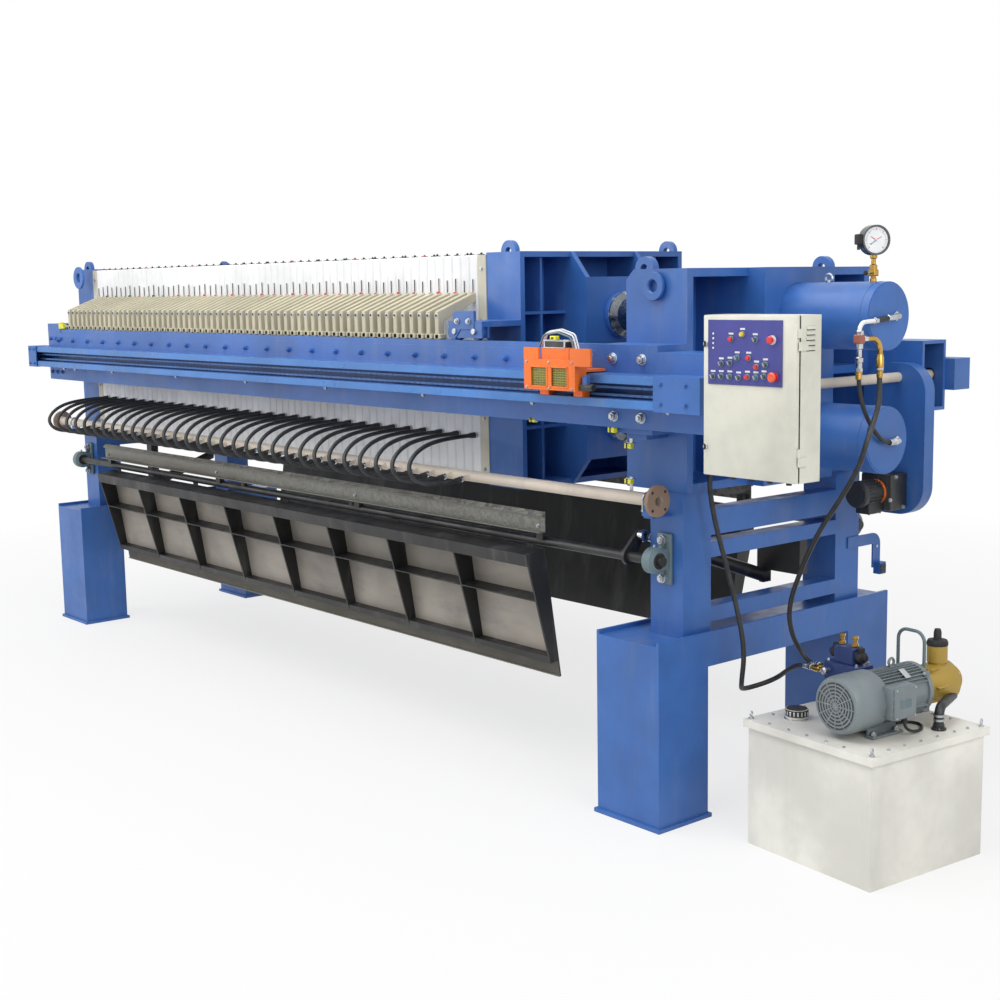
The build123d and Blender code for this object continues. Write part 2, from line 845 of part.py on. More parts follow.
def make_manifold():
    """Squeeze-water manifold pipe along the near side with open flanges and welded hose stubs."""
    pipe_start = (manifold_start_x, -manifold_y, manifold_z)
    length = manifold_end_x - manifold_start_x
    reach = manifold_diameter / 2 + stub_length
    with BuildPart() as pipe:
        bar(pipe_start, (1, 0, 0), length, manifold_diameter)
        for flange_x in (manifold_start_x, manifold_end_x - manifold_flange):
            with BuildSketch(Plane.YZ.offset(flange_x)):
                with Locations((-manifold_y, manifold_z)):
                    Circle(manifold_flange_diameter / 2)
                    with PolarLocations(bolt_circle / 2, 4, start_angle=45):
                        Circle(bolt_hole / 2, mode=Mode.SUBTRACT)
            extrude(amount=manifold_flange)
        bar(pipe_start, (1, 0, 0), length, manifold_bore, mode=Mode.SUBTRACT)
    with BuildPart() as stub:
        axis_plane = Plane(origin=(0, -manifold_y, manifold_z), x_dir=(1, 0, 0), z_dir=stub_direction())
        with BuildSketch(axis_plane):
            RegularPolygon(stub_width / 2, 6)
        extrude(amount=reach)
        start = (-stub_width, -manifold_y, manifold_z)
        bar(start, (1, 0, 0), 2 * stub_width, manifold_diameter, mode=Mode.SUBTRACT)
    with BuildPart() as manifold:
        add(pipe.part)
        with Locations(*[(x + stub_offset, 0, 0) for x in plate_stations()]):
            add(stub.part)
    save(manifold, "squeeze_manifold")


def make_manifold_brackets():
    """Brackets that hold the manifold pipe off the posts at the two ends."""
    foot_z = manifold_z - manifold_diameter / 2
    plate_z = (foot_z - clamp_width, foot_z - clamp_width + clamp_plate)
    with BuildPart() as brackets:
        for post_x in (feed_end_x + feed_post_setback, portal_2_x + post_setback):
            middle = post_x + post_length_x / 2
            width = (middle - clamp_width / 2, middle + clamp_width / 2)
            block(width, (-manifold_y, -post_outer_y), plate_z)
            block(width, (-manifold_y - clamp_plate, -manifold_y + clamp_plate), (plate_z[1], foot_z))
    save(brackets, "manifold_brackets")


def make_membrane_hoses():
    """Short pressure hoses that bow out from the membrane plates and down to the manifold."""
    stub_end = Vector(0, -manifold_y, manifold_z) + stub_direction() * (manifold_diameter / 2 + stub_length)
    last_run = stub_end + stub_direction() * 120 + Vector(stub_offset, 0, 0)
    route = [
        (0, -plate_half, hose_root_z),
        (0, -plate_half - 205, hose_root_z),
        (50, -plate_half - 435, hose_root_z - 31),
        (100, -plate_half - 565, hose_root_z - 121),
        (135, -plate_half - 525, hose_root_z - 211),
        tuple(last_run),
        (stub_offset, stub_end.Y, stub_end.Z),
    ]
    with BuildPart() as hose:
        with BuildLine() as path:
            Polyline(*route)
        with BuildSketch(Plane.XZ.offset(plate_half)):
            with Locations((0, hose_root_z)):
                RegularPolygon(hose_diameter / 2, 6)
        sweep(path=path.line, transition=Transition.RIGHT)
    with BuildPart() as hoses:
        with Locations(*[(x, 0, 0) for x in plate_stations()]):
            add(hose.part)
    save(hoses, "membrane_hoses")


def bearing_stations():
    """Middle of each post along the press, where the flap bearings sit."""
    setbacks = (feed_end_x + feed_post_setback, portal_2_x + post_setback)
    return [post_x + post_length_x / 2 for post_x in setbacks]


def make_flap_bearings():
    """Pillow blocks on the posts' outer faces that carry the two flap shafts."""
    base_length, base_depth, base_height = bearing_base
    with BuildPart() as bearings:
        for side in (near, far):
            for middle in bearing_stations():
                block(
                    (middle - base_length / 2, middle + base_length / 2),
                    side_span(side, post_outer_y, post_outer_y + base_depth),
                    (flap_shaft_z - base_height / 2, flap_shaft_z + base_height / 2),
                )
                with BuildSketch(Plane.YZ.offset(middle - bearing_length / 2)):
                    half = bearing_housing / 2
                    levels = (flap_shaft_z - half, flap_shaft_z + half)
                    patch(side_span(side, post_outer_y, flap_shaft_y), levels)
                    with Locations((side * flap_shaft_y, flap_shaft_z)):
                        Circle(half)
                        Circle(flap_shaft_diameter / 2 + running_clearance, mode=Mode.SUBTRACT)
                extrude(amount=bearing_length)
    save(bearings, "flap_bearings")


def flap_section(side, x):
    """Plane across a flap at a station: local x out from the shaft's axis, local y down the flap."""
    lean = radians(flap_hang)
    outward = Vector(0, side * cos(lean), -sin(lean))
    down = Vector(0, -side * sin(lean), -cos(lean))
    return Plane(origin=(x, side * flap_shaft_y, flap_shaft_z), x_dir=outward, z_dir=outward.cross(down))


def make_flap(name, side):
    """Drip flap: sheet with a lip, rails along its outer face and tapered ribs between its bays."""
    length = flap_end_x - flap_start_x
    along = -side
    face = flap_face_offset
    top = flap_shaft_diameter / 2 + flap_top_gap
    foot = flap_length - flap_lip
    taper = (rib_depth_top - rib_depth_foot) / (foot - top)
    middle_depth = rib_depth_top - taper * (flap_middle - top)
    with BuildPart() as flap:
        with BuildSketch(flap_section(side, flap_start_x)):
            patch((face - flap_sheet, face), (top, flap_length))
            patch((face, face + rib_depth_top), (top, top + flap_plate))
            rail_face = face + rib_depth_top
            patch((rail_face - flap_plate, rail_face), (top, top + flap_rail))
            patch((face, face + middle_depth), (flap_middle, flap_middle + flap_plate))
            patch((face, face + rib_depth_foot), (foot - flap_foot_bar, foot))
        extrude(amount=along * length)
        bay = (length - rib_thickness) / flap_bays
        for index in range(flap_bays + 1):
            with BuildSketch(flap_section(side, flap_start_x + index * bay)):
                with BuildLine():
                    Polyline(
                        (face, top),
                        (face + rib_depth_top, top),
                        (face + rib_depth_foot, foot),
                        (face, foot),
                        close=True,
                    )
                make_face()
            extrude(amount=along * rib_thickness)
    save(flap, name)


def make_flap_shaft(name, side, crank_x):
    """Flap shaft with straps down to the flap, lugs for the gutter and the crank for its ram."""
    start_x, end_x = bearing_stations()
    start_x -= shaft_past_bearing
    end_x += shaft_past_bearing
    pin_y = side * (flap_shaft_y - crank_radius * cos(radians(crank_angle)))
    pin_z = flap_shaft_z + crank_radius * sin(radians(crank_angle))
    with BuildPart() as shaft:
        bar((start_x, side * flap_shaft_y, flap_shaft_z), (1, 0, 0), end_x - start_x, flap_shaft_diameter)
        with BuildSketch(Plane.YZ.offset(crank_x)):
            with Locations((side * flap_shaft_y, flap_shaft_z)):
                Circle(crank_hub / 2)
            with Locations((pin_y, pin_z)):
                Circle(crank_end / 2)
            make_hull()
        extrude(amount=crank_thickness)
        lug_step = (gutter_end_x - gutter_start_x - 2 * gutter_lug) / (gutter_lugs - 1)
        for index in range(gutter_lugs):
            lug_x = gutter_start_x + gutter_lug / 2 + index * lug_step
            lug_top_z = flap_shaft_z + gutter_above_shaft + gutter_outside_shaft
            block(
                (lug_x, lug_x + gutter_lug),
                side_span(side, flap_shaft_y - gutter_sheet, flap_shaft_y + gutter_outside_shaft),
                (flap_shaft_z + flap_shaft_diameter / 4, lug_top_z),
            )
        strap_step = (flap_end_x - flap_start_x - 2 * strap_inset - strap_length) / (strap_count - 1)
        for index in range(strap_count):
            with BuildSketch(flap_section(side, flap_start_x + strap_inset + index * strap_step)):
                patch(
                    (flap_face_offset - flap_sheet, flap_face_offset),
                    (flap_shaft_diameter / 2 - flap_sheet, flap_shaft_diameter / 2 + flap_top_gap),
                )
            extrude(amount=-side * strap_length)
    save(shaft, name)


def make_gutter(name, side):
    """Galvanised channel above the flap's shaft that closes the gap to the plates."""
    back = flap_shaft_y + gutter_outside_shaft
    low = flap_shaft_z + gutter_above_shaft
    high = low + gutter_height
    sheet = gutter_sheet
    fold = sheet * tan(radians(22.5))
    outline = [
        (back, low),
        (back + gutter_flange, low),
        (back + gutter_flange, low + sheet),
        (back + sheet, low + sheet),
        (back + sheet, high - 2 * sheet - fold),
        (back + gutter_lip - sheet + fold, high - gutter_lip - sheet - fold),
        (back + gutter_lip, high - gutter_lip),
        (back, high),
    ]
    with BuildPart() as gutter:
        with BuildSketch(Plane.YZ.offset(gutter_start_x)):
            with BuildLine():
                Polyline(*[(side * y, z) for y, z in outline], close=True)
            make_face()
        extrude(amount=gutter_end_x - gutter_start_x)
    save(gutter, name)


def flap_cranks():
    """Each flap's side with the station of its crank."""
    near_crank_x = portal_2_x + post_setback - crank_thickness - crank_before_post
    far_crank_x = feed_end_x + feed_post_setback + post_length_x + crank_past_post
    return ((near, near_crank_x), (far, far_crank_x))


def ram_line(side):
    """Start and direction of a flap's ram, from its fixed pivot to the crank pin."""
    pin_y = flap_shaft_y - crank_radius * cos(radians(crank_angle))
    pin_z = flap_shaft_z + crank_radius * sin(radians(crank_angle))
    start = Vector(0, -side * ram_pivot_y, flap_shaft_z - ram_pivot_below_shaft)
    return start, Vector(0, side * pin_y, pin_z) - start


def make_rams():
    """Hydraulic rams that swing the flaps, each on a bracket under a crossbar."""
    frames = {
        near: (portal_2_x + post_setback, middle_crossbar),
        far: (feed_end_x + feed_post_setback, top_crossbar),
    }
    half = ram_eye / 2
    with BuildPart() as rams:
        for side, crank_x in flap_cranks():
            ram_x = crank_x + crank_thickness + ram_beside_crank + ram_eye_thickness / 2
            start, line = ram_line(side)
            start += Vector(ram_x, 0, 0)
            bar(start, line, line.length * ram_body_share, ram_diameter)
            hole = start + line.normalized() * ram_floor
            bar(hole, line, line.length, ram_rod_diameter + 2 * running_clearance, mode=Mode.SUBTRACT)
            post_x, (bar_height, _) = frames[side]
            back_x = post_x + post_length_x
            across = (start.Y - half, start.Y + half)
            block(
                (min(ram_x - half, back_x), max(ram_x + half, back_x)),
                across,
                (start.Z + half + clamp_plate, portal_height + bar_height),
            )
            eye = (ram_x - ram_eye_thickness / 2, ram_x + ram_eye_thickness / 2)
            block(eye, across, (start.Z - half, start.Z + half + clamp_plate))
    save(rams, "flap_rams")


def make_ram_rod(name, side, crank_x):
    """Ram rod with the eye that stands beside the crank's pin."""
    eye_x = crank_x + crank_thickness + ram_beside_crank
    start, line = ram_line(side)
    start += Vector(eye_x + ram_eye_thickness / 2, 0, 0)
    rod_start = 0.6 * ram_body_share
    with BuildPart() as rod:
        bar(start + line * rod_start, line, line.length * (1 - rod_start) - ram_eye_hole, ram_rod_diameter)
        with BuildSketch(Plane.YZ.offset(eye_x)):
            with Locations((start.Y + line.Y, start.Z + line.Z)):
                Circle(ram_eye / 2)
                Circle(ram_eye_hole / 2, mode=Mode.SUBTRACT)
        extrude(amount=ram_eye_thickness)
    save(rod, name)


def make_drive_shaft():
    """Cross shaft that turns the chain sprockets on both sides."""
    end_y = beam_outer_y + end_box_wall
    sprocket = 2 * chain_pitch_radius - chain_thickness - 2 * sliding_gap
    with BuildPart() as shaft:
        bar((drive_shaft_x, -end_y, chain_z), (0, 1, 0), 2 * end_y, drive_shaft_diameter)
        for side in (near, far):
            reach = chain_y + chain_width / 2 - end_y
            bar((drive_shaft_x, side * end_y, chain_z), (0, side, 0), reach, sprocket)
    save(shaft, "drive_shaft")


def cover_centre():
    """Middle of the chain cover in the XZ plane."""
    return (drive_shaft_x - cover_offset, chain_z + cover_rise - cover_height / 2)


def make_chain_cover():
    """Oblong guard over the chain from the gear motor up to the cross shaft."""
    outer_y = beam_inner_y - cover_inset
    with BuildPart() as cover:
        with BuildSketch(Plane.XZ.offset(-outer_y)):
            with Locations(cover_centre()):
                RectangleRounded(cover_width, cover_height, cover_corner)
            with Locations((drive_shaft_x, chain_z)):
                Circle(drive_shaft_diameter / 2 + bore_clearance, mode=Mode.SUBTRACT)
        extrude(amount=cover_depth)
    save(cover, "chain_cover")


def make_gear_motor():
    """Gear motor under the cylinders, on its axis across the press."""
    centre_x, cover_z = cover_centre()
    centre_z = cover_z - cover_height / 2 + gear_motor_rise
    case_size, case_depth = gear_case
    face_y = beam_inner_y - cover_inset - cover_depth
    case_y = face_y - case_depth
    width, depth, height = motor_box
    half = case_size / 2
    with BuildPart() as motor:
        block((centre_x - half, centre_x + half), (case_y, face_y), (centre_z - half, centre_z + half))
        bar((centre_x, case_y, centre_z), (0, -1, 0), gear_motor_length, gear_motor_diameter)
        low_z = centre_z - gear_motor_diameter / 2
        block(
            (centre_x - width / 2, centre_x + width / 2),
            (case_y - depth, case_y),
            (low_z - height / 2, low_z + height / 2),
        )
    save(motor, "gear_motor")


def make_shifter(name, side):
    """Plate-shifter trolley: shoes in the track's groove and a windowed guard box outside it."""
    low_x = seat_x - shifter_before_seat
    high_x = low_x + shifter_length
    low_z = track_top_z - shifter_below_track
    high_z = low_z + shifter_height
    back_y = track_outer_y + shifter_clearance
    front_y = back_y + shifter_depth
    wing_length, wing_height = shifter_wing
    window_length, window_height = shifter_window
    sheet = shifter_sheet
    plate_z = track_top_z + shifter_clearance
    groove = (track_low_z + track_band + sliding_gap, track_top_z - track_band - sliding_gap)
    with BuildPart() as shifter:
        block((low_x, high_x), side_span(side, back_y, front_y), (low_z, high_z))
        block(
            (low_x + sheet, high_x - sheet),
            side_span(side, back_y + 2 * sheet, front_y - sheet),
            (low_z + sheet, high_z - sheet),
            mode=Mode.SUBTRACT,
        )
        for window_x in (low_x + shifter_length * 0.3, low_x + shifter_length * 0.7):
            block(
                (window_x - window_length / 2, window_x + window_length / 2),
                side_span(side, front_y - sheet, front_y),
                (low_z + window_rise, low_z + window_rise + window_height),
                mode=Mode.SUBTRACT,
            )
        block(
            (low_x, low_x + wing_length),
            side_span(side, front_y - carriage_plate, front_y),
            (high_z, high_z + wing_height),
        )
        block(
            (high_x - wing_length / 3, high_x + wing_length),
            side_span(side, front_y - carriage_plate, front_y),
            (high_z - wing_height / 2, high_z + wing_height),
        )
        block(
            (low_x + wing_length + carriage_plate, high_x - wing_length / 2),
            side_span(side, back_y, front_y - carriage_plate),
            (high_z, high_z + wing_height),
        )
        block(
            (low_x, high_x),
            side_span(side, beam_outer_y + shifter_clearance, back_y + sheet),
            (plate_z, plate_z + carriage_plate),
        )
        for shoe_x in (low_x + shoe_length / 2, high_x - 1.5 * shoe_length):
            block(
                (shoe_x, shoe_x + shoe_length),
                side_span(side, back_y - shoe_depth - shifter_clearance, back_y),
                groove,
            )
    save(shifter, name)


def hinge_levels():
    """Undersides of the cabinet's own hinge knuckles."""
    return (cabinet_low_z + hinge_inset, cabinet_low_z + cabinet_height - hinge_inset - 2 * hinge_length)


def hinge_knuckle(low_z):
    """One knuckle on the door hinge's axis, in the part being built."""
    axis_x = cabinet_x + cabinet_width + hinge_offset
    bar((axis_x, -cabinet_front_y + door_depth / 2, low_z), (0, 0, 1), hinge_length, 2 * hinge_radius)


def make_cabinet():
    """Control cabinet shell with its hinge knuckles, and the tube arms that hold it off the beam."""
    high_x = cabinet_x + cabinet_width
    front = cabinet_front_y - door_depth - door_gap
    back = cabinet_front_y - door_gap - cabinet_depth
    strap_back = front - hinge_length
    high_z = cabinet_low_z + cabinet_height
    with BuildPart() as cabinet:
        block((cabinet_x, high_x), side_span(near, back, front), (cabinet_low_z, high_z))
        block(
            (cabinet_x + cabinet_sheet, high_x - cabinet_sheet),
            side_span(near, back + cabinet_sheet, front),
            (cabinet_low_z + cabinet_sheet, high_z - cabinet_sheet),
            mode=Mode.SUBTRACT,
        )
        for knuckle_z in hinge_levels():
            level = (knuckle_z, knuckle_z + hinge_length)
            hinge_knuckle(knuckle_z)
            block((high_x, high_x + hinge_offset), side_span(near, strap_back, front), level)
            block(
                (high_x + hinge_radius / 2, high_x + hinge_offset),
                side_span(near, strap_back, cabinet_front_y - door_depth / 2),
                level,
            )
    save(cabinet, "control_cabinet")
    with BuildPart() as bracket:
        arm_x = cabinet_x + 2 * bracket_tube
        for level in bracket_levels:
            arm_z = (cabinet_low_z + level, cabinet_low_z + level + bracket_tube)
            block((beam_end_x, arm_x), (-beam_outer_y, -beam_inner_y), arm_z)
            block((arm_x - bracket_tube, arm_x), (-back, -beam_outer_y), arm_z)
    save(bracket, "cabinet_bracket")


def make_cabinet_door():
    """Cabinet door with its raised control panel, stop button, cam locks and hinge knuckles."""
    high_x = cabinet_x + cabinet_width
    high_z = cabinet_low_z + cabinet_height
    panel_z = (high_z - panel_top - panel_height, high_z - panel_top)
    panel_y = cabinet_front_y + panel_raise
    pin_y = cabinet_front_y - door_depth / 2
    with BuildPart() as door:
        block(
            (cabinet_x, high_x),
            side_span(near, cabinet_front_y - door_depth, cabinet_front_y),
            (cabinet_low_z, high_z),
        )
        block(
            (cabinet_x + cabinet_sheet, high_x - cabinet_sheet),
            side_span(near, cabinet_front_y - door_depth, cabinet_front_y - cabinet_sheet),
            (cabinet_low_z + cabinet_sheet, high_z - cabinet_sheet),
            mode=Mode.SUBTRACT,
        )
        block(
            (cabinet_x + panel_left, high_x - panel_right),
            side_span(near, cabinet_front_y, panel_y),
            panel_z,
        )
        stop_x = high_x - panel_right - stop_button
        bar((stop_x, -panel_y, panel_z[0] + stop_button), (0, -1, 0), stop_button / 2, stop_button)
        for lock_z in (cabinet_low_z + hinge_inset, high_z - panel_top - panel_height - hinge_inset):
            lock_x = cabinet_x + lock_inset
            bar((lock_x, -cabinet_front_y, lock_z), (0, -1, 0), panel_raise, lock_diameter)
        for knuckle_z in hinge_levels():
            low_z = knuckle_z + hinge_length + sliding_gap
            hinge_knuckle(low_z)
            block(
                (high_x - cabinet_sheet, high_x + hinge_offset),
                side_span(near, pin_y, pin_y + hinge_radius),
                (low_z, low_z + hinge_length),
            )
    save(door, "cabinet_door")


def make_gauge():
    """Pressure gauge on its cock on top of the upper cylinder."""
    gauge_x = cylinder_back_x - gauge_setback
    barrel_top = cylinder_axes_z[0] + cylinder_diameter / 2
    dial_z = barrel_top + gauge_height
    dial_radius = gauge_diameter / 2
    with BuildPart() as gauge:
        bar((gauge_x - gauge_depth / 2, 0, dial_z), (1, 0, 0), gauge_depth, gauge_diameter)
        bar((gauge_x, 0, barrel_top), (0, 0, 1), gauge_height - dial_radius / 2, gauge_stem)
        half = gauge_stem
        block(
            (gauge_x - half, gauge_x + half),
            (-half, half),
            (barrel_top + gauge_stem, barrel_top + gauge_stem + gauge_depth),
        )
    save(gauge, "pressure_gauge")


def cap_x_out():
    """Station of the pipes that run behind the cylinders' end caps."""
    return cylinder_back_x + pipe_offset


def make_cylinder_fittings():
    """Steel pipes, tee and elbows between the two cylinders' ports and their hoses."""
    x = cap_x_out()
    upper_z, lower_z = cylinder_axes_z[0] - 1, cylinder_axes_z[1] - 7
    half = tee_size / 2
    with BuildPart() as fittings:
        tube(
            [
                (cylinder_back_x, port_y, upper_z),
                (x, port_y, upper_z),
                (x, port_y - 110, upper_z - 8),
                (x, tee_y + 110, upper_z - 17),
                (x, tee_y, upper_z - 22),
                (x, tee_y, tee_z + half),
            ],
            cap_pipe_diameter,
            radii=[28, 200, 200, 45],
        )
        block((x - half, x + half), (tee_y - half, tee_y + half), (tee_z - half, tee_z + half))
        tube(
            [(x, tee_y + half, tee_z), (x, elbow_y, tee_z), (x, elbow_y, tee_z - elbow_drop)],
            fitting_diameter + 2,
            radii=[60],
        )
        bar((x, tee_y, tee_z - half), (0, 0, -1), elbow_drop - half, fitting_diameter)
        tube(
            [
                (cylinder_back_x, port_y + half, lower_z),
                (x, port_y + half, lower_z),
                (x, port_y - half, lower_z),
            ],
            cap_pipe_diameter,
            radii=[28],
        )
        side_port_y = -cylinder_diameter / 2
        bar((side_port_x, side_port_y, cylinder_axes_z[1]), (0, -1, 0), side_port_length, fitting_diameter)
    save(fittings, "cylinder_fittings")


def unit_point(u, v, z):
    """Point of the power unit: u across it, v along its motor, z over the floor."""
    return unit.from_local_coords(Vector(u, v, z))


def valve_port(across):
    """Outer end of a valve port and the direction that it points in."""
    reach = valve_block_place[0] - valve_block[0] / 2 - port_length
    tip = unit_point(reach, valve_block_place[1] + across, unit_height + valve_block_place[2] + port_rise)
    return tip, unit.x_dir * -1


def make_hydraulic_hoses():
    """The three free oil hoses: valve to lower cylinder, valve to tee, and tee to lower cap."""
    x = cap_x_out()
    tip, outward = valve_port(-port_spacing / 2)
    side_z = cylinder_axes_z[1]
    start_y = -cylinder_diameter / 2 - side_port_length
    with BuildPart() as hoses:
        tube(
            [
                (side_port_x, start_y, side_z),
                (side_port_x, start_y - 90, side_z),
                (side_port_x - 28, start_y - 220, side_z - 8),
                (side_port_x - 85, start_y - 345, side_z - 45),
                (side_port_x - 128, start_y - 400, side_z - 145),
                (side_port_x - 130, start_y - 356, side_z - 360),
                (side_port_x - 107, start_y - 300, side_z - 575),
                (side_port_x - 60, start_y - 270, side_z - 790),
                (side_port_x - 12, start_y - 260, side_z - 1008),
                (side_port_x - 19, start_y - 280, side_z - 1180),
                (side_port_x - 125, start_y - 150, side_z - 1248),
                (side_port_x - 35, start_y - 15, side_z - 1205),
                (tip + outward * 144 + Vector(0, 0, -40)),
                (tip + outward * 69),
                tip,
            ],
            hydraulic_hose,
        )
        tip, outward = valve_port(port_spacing / 2)
        top_z = tee_z - elbow_drop
        tube(
            [
                (x, elbow_y, top_z),
                (x, elbow_y, top_z - 80),
                (x + 17, elbow_y - 25, top_z - 165),
                (x + 32, elbow_y - 82, top_z - 242),
                (x + 35, elbow_y - 142, top_z - 340),
                (x + 12, elbow_y - 159, top_z - 445),
                (x - 85, elbow_y - 153, top_z - 590),
                (x - 214, elbow_y - 147, top_z - 757),
                (x - 325, elbow_y - 147, top_z - 965),
                (x - 400, elbow_y - 147, top_z - 1165),
                (x - 385, elbow_y - 132, top_z - 1300),
                (tip + outward * 107 + Vector(0, 0, 38)),
                (tip + outward * 55),
                tip,
            ],
            hydraulic_hose,
        )
        lower_z = cylinder_axes_z[1] - 7
        end_y = port_y - tee_size / 2
        tube(
            [
                (x, tee_y, top_z),
                (x, tee_y, top_z - 70),
                (x - 5, tee_y + 30, top_z - 148),
                (x - 8, tee_y + 73, top_z - 218),
                (x - 8, tee_y + 128, top_z - 285),
                (x - 3, end_y - 100, lower_z + 13),
                (x, end_y - 52, lower_z),
                (x, end_y, lower_z),
            ],
            cap_hose,
        )
    save(hoses, "hydraulic_hoses")


def make_limit_switch():
    """Hooked bracket on the far post with the limit switch under its leg."""
    face_x = portal_2_x + post_setback + post_length_x
    arm_y = post_outer_y - post_width_y / 2
    arm_length, arm_height = switch_arm[0] + post_width_y / 2, switch_arm[1]
    leg_width, leg_height = switch_leg
    top_z = portal_height + switch_height - low_crossbar[0] + arm_height / 4
    length, depth, height = switch_case
    with BuildPart() as bracket:
        with BuildSketch(Plane.YZ.offset(face_x)) as outline:
            patch((arm_y, arm_y + arm_length), (top_z - arm_height, top_z))
            patch((arm_y + arm_length - leg_width, arm_y + arm_length), (top_z - leg_height, top_z))
            corner = outline.vertices().group_by(Axis.X)[-1].sort_by(Axis.Y)[-1]
            fillet(corner, leg_width)
        extrude(amount=switch_plate)
        leg_y = arm_y + arm_length - leg_width / 2
        foot_z = top_z - leg_height
        block(
            (face_x + switch_plate, face_x + switch_plate + length),
            (leg_y - depth / 2, leg_y + depth / 2),
            (foot_z - height / 2, foot_z + height / 2),
        )
    save(bracket, "limit_switch_bracket")


def unit_block(u_limits, v_limits, z_limits, mode=Mode.ADD):
    """Rectangular block between limits in the power unit's own directions, in the part being built."""
    limits = (u_limits, v_limits, z_limits)
    u, v, z = [(low + high) / 2 for low, high in limits]
    with BuildSketch(unit.offset(z_limits[0])) as section:
        with Locations((u, v)):
            Rectangle(abs(u_limits[1] - u_limits[0]), abs(v_limits[1] - v_limits[0]))
    extrude(section.sketch, amount=z_limits[1] - z_limits[0], mode=mode)


def make_tank():
    """Open-topped oil tank and the folded lid that closes it, with the filler neck."""
    half = tank_size / 2
    inner = half - tank_sheet
    lid_half = half + lid_overhang
    rim_half = lid_half - lid_sheet
    tank_top = unit_height - lid_sheet
    with BuildPart() as tank:
        unit_block((-half, half), (-half, half), (0, tank_top))
        unit_block((-inner, inner), (-inner, inner), (tank_sheet, tank_top), mode=Mode.SUBTRACT)
    save(tank, "oil_tank")
    u, v, diameter, height = filler
    with BuildPart() as lid:
        unit_block((-lid_half, lid_half), (-lid_half, lid_half), (unit_height - lid_rim, unit_height))
        inside = (-rim_half, rim_half)
        unit_block(inside, inside, (unit_height - lid_rim, tank_top), mode=Mode.SUBTRACT)
        bar(unit_point(u, v, unit_height), (0, 0, 1), height, diameter)
    save(lid, "tank_lid")


def make_pump_motor():
    """Pump motor on its foot, with the wider fan cover and the terminal box on its side."""
    along = unit.y_dir
    foot_width, foot_length, foot_height = motor_foot
    box_depth, box_length, box_height = terminal_box
    body = motor_diameter / 2
    foot_start = fan_cover_end - foot_length / 2 + box_depth / 2
    with BuildPart() as motor:
        start = unit_point(motor_offset, fan_cover_start, motor_z)
        bar(start, along, fan_cover_end - fan_cover_start, fan_cover_diameter)
        start = unit_point(motor_offset, fan_cover_end, motor_z)
        bar(start, along, motor_end - fan_cover_end, motor_diameter)
        unit_block(
            (motor_offset - foot_width / 2, motor_offset + foot_width / 2),
            (foot_start, foot_start + foot_length),
            (unit_height, unit_height + foot_height),
        )
        side_u = motor_offset + body
        unit_block(
            (side_u - box_depth / 4, side_u + box_depth),
            (terminal_start, terminal_start + box_length),
            (motor_z - box_height * 0.43, motor_z + box_height * 0.57),
        )
    save(motor, "pump_motor")


def make_oil_pump():
    """Pump with its bell housing, filter head, suction pipe and the return pipe's loop."""
    bell_end = motor_end + bell_length
    pump_end = bell_end + bell_flange + pump_length
    axis_plane = Plane(
        origin=unit_point(motor_offset, 0, motor_z), x_dir=unit.y_dir, z_dir=unit.x_dir
    )
    cap_diameter, cap_height = filter_cap
    knob_diameter, knob_height = filter_knob
    filter_top = unit_height + filter_height
    with BuildPart() as pump:
        with BuildSketch(axis_plane):
            with BuildLine():
                Polyline(
                    (motor_end, 0),
                    (motor_end, bell_start_diameter / 2),
                    (bell_end, bell_diameter / 2),
                    (bell_end + bell_flange, bell_diameter / 2),
                    (bell_end + bell_flange, pump_diameter / 2),
                    (pump_end, pump_diameter / 2),
                    (pump_end, 0),
                    close=True,
                )
            make_face()
        revolve(axis=Axis(unit_point(motor_offset, 0, motor_z), unit.y_dir))
        stack = (
            (motor_z, filter_top, filter_diameter),
            (filter_top, filter_top + cap_height, cap_diameter),
            (filter_top + cap_height, filter_top + cap_height + knob_height, knob_diameter),
        )
        for low_z, high_z, diameter in stack:
            bar(unit_point(motor_offset, filter_station, low_z), (0, 0, 1), high_z - low_z, diameter)
        suction_z = motor_z - pump_diameter * 0.4
        tube(
            [
                unit_point(suction_foot[0], suction_foot[1], unit_height),
                unit_point(suction_foot[0], suction_foot[1], suction_z),
                unit_point(motor_offset + pump_diameter / 2, bell_end - bell_flange, suction_z),
            ],
            suction_diameter,
            radii=[suction_diameter],
        )
        top_z = unit_height + return_height
        return_u, return_v = return_foot
        tube(
            [
                unit_point(return_u, return_v, unit_height),
                unit_point(return_u, return_v, top_z),
                unit_point(motor_offset + return_diameter, return_v, top_z),
                unit_point(motor_offset + return_diameter, return_v, motor_z + bell_start_diameter / 2),
            ],
            return_diameter,
            radii=[50, 50],
        )
    save(pump, "oil_pump")


def make_valve_block():
    """Valve block behind the motor on its stand, with two plugs and the ports for the hoses."""
    length, depth, height = valve_block
    u, v, rise = valve_block_place
    low_z = unit_height + rise
    stand = 0.6
    with BuildPart() as valves:
        unit_block((u - length / 2, u + length / 2), (v - depth / 2, v + depth / 2), (low_z, low_z + height))
        unit_block(
            (u - stand * length / 2, u + stand * length / 2),
            (v - stand * depth / 2, v + stand * depth / 2),
            (unit_height, low_z),
        )
        for offset in (-port_spacing * 0.8, port_spacing * 0.8):
            bar(unit_point(u + offset, v, low_z + height), (0, 0, 1), port_spacing, port_diameter)
        for across in (-port_spacing / 2, port_spacing / 2):
            tip, outward = valve_port(across)
            bar(tip, outward * -1, port_length, port_diameter)
    save(valves, "valve_block")


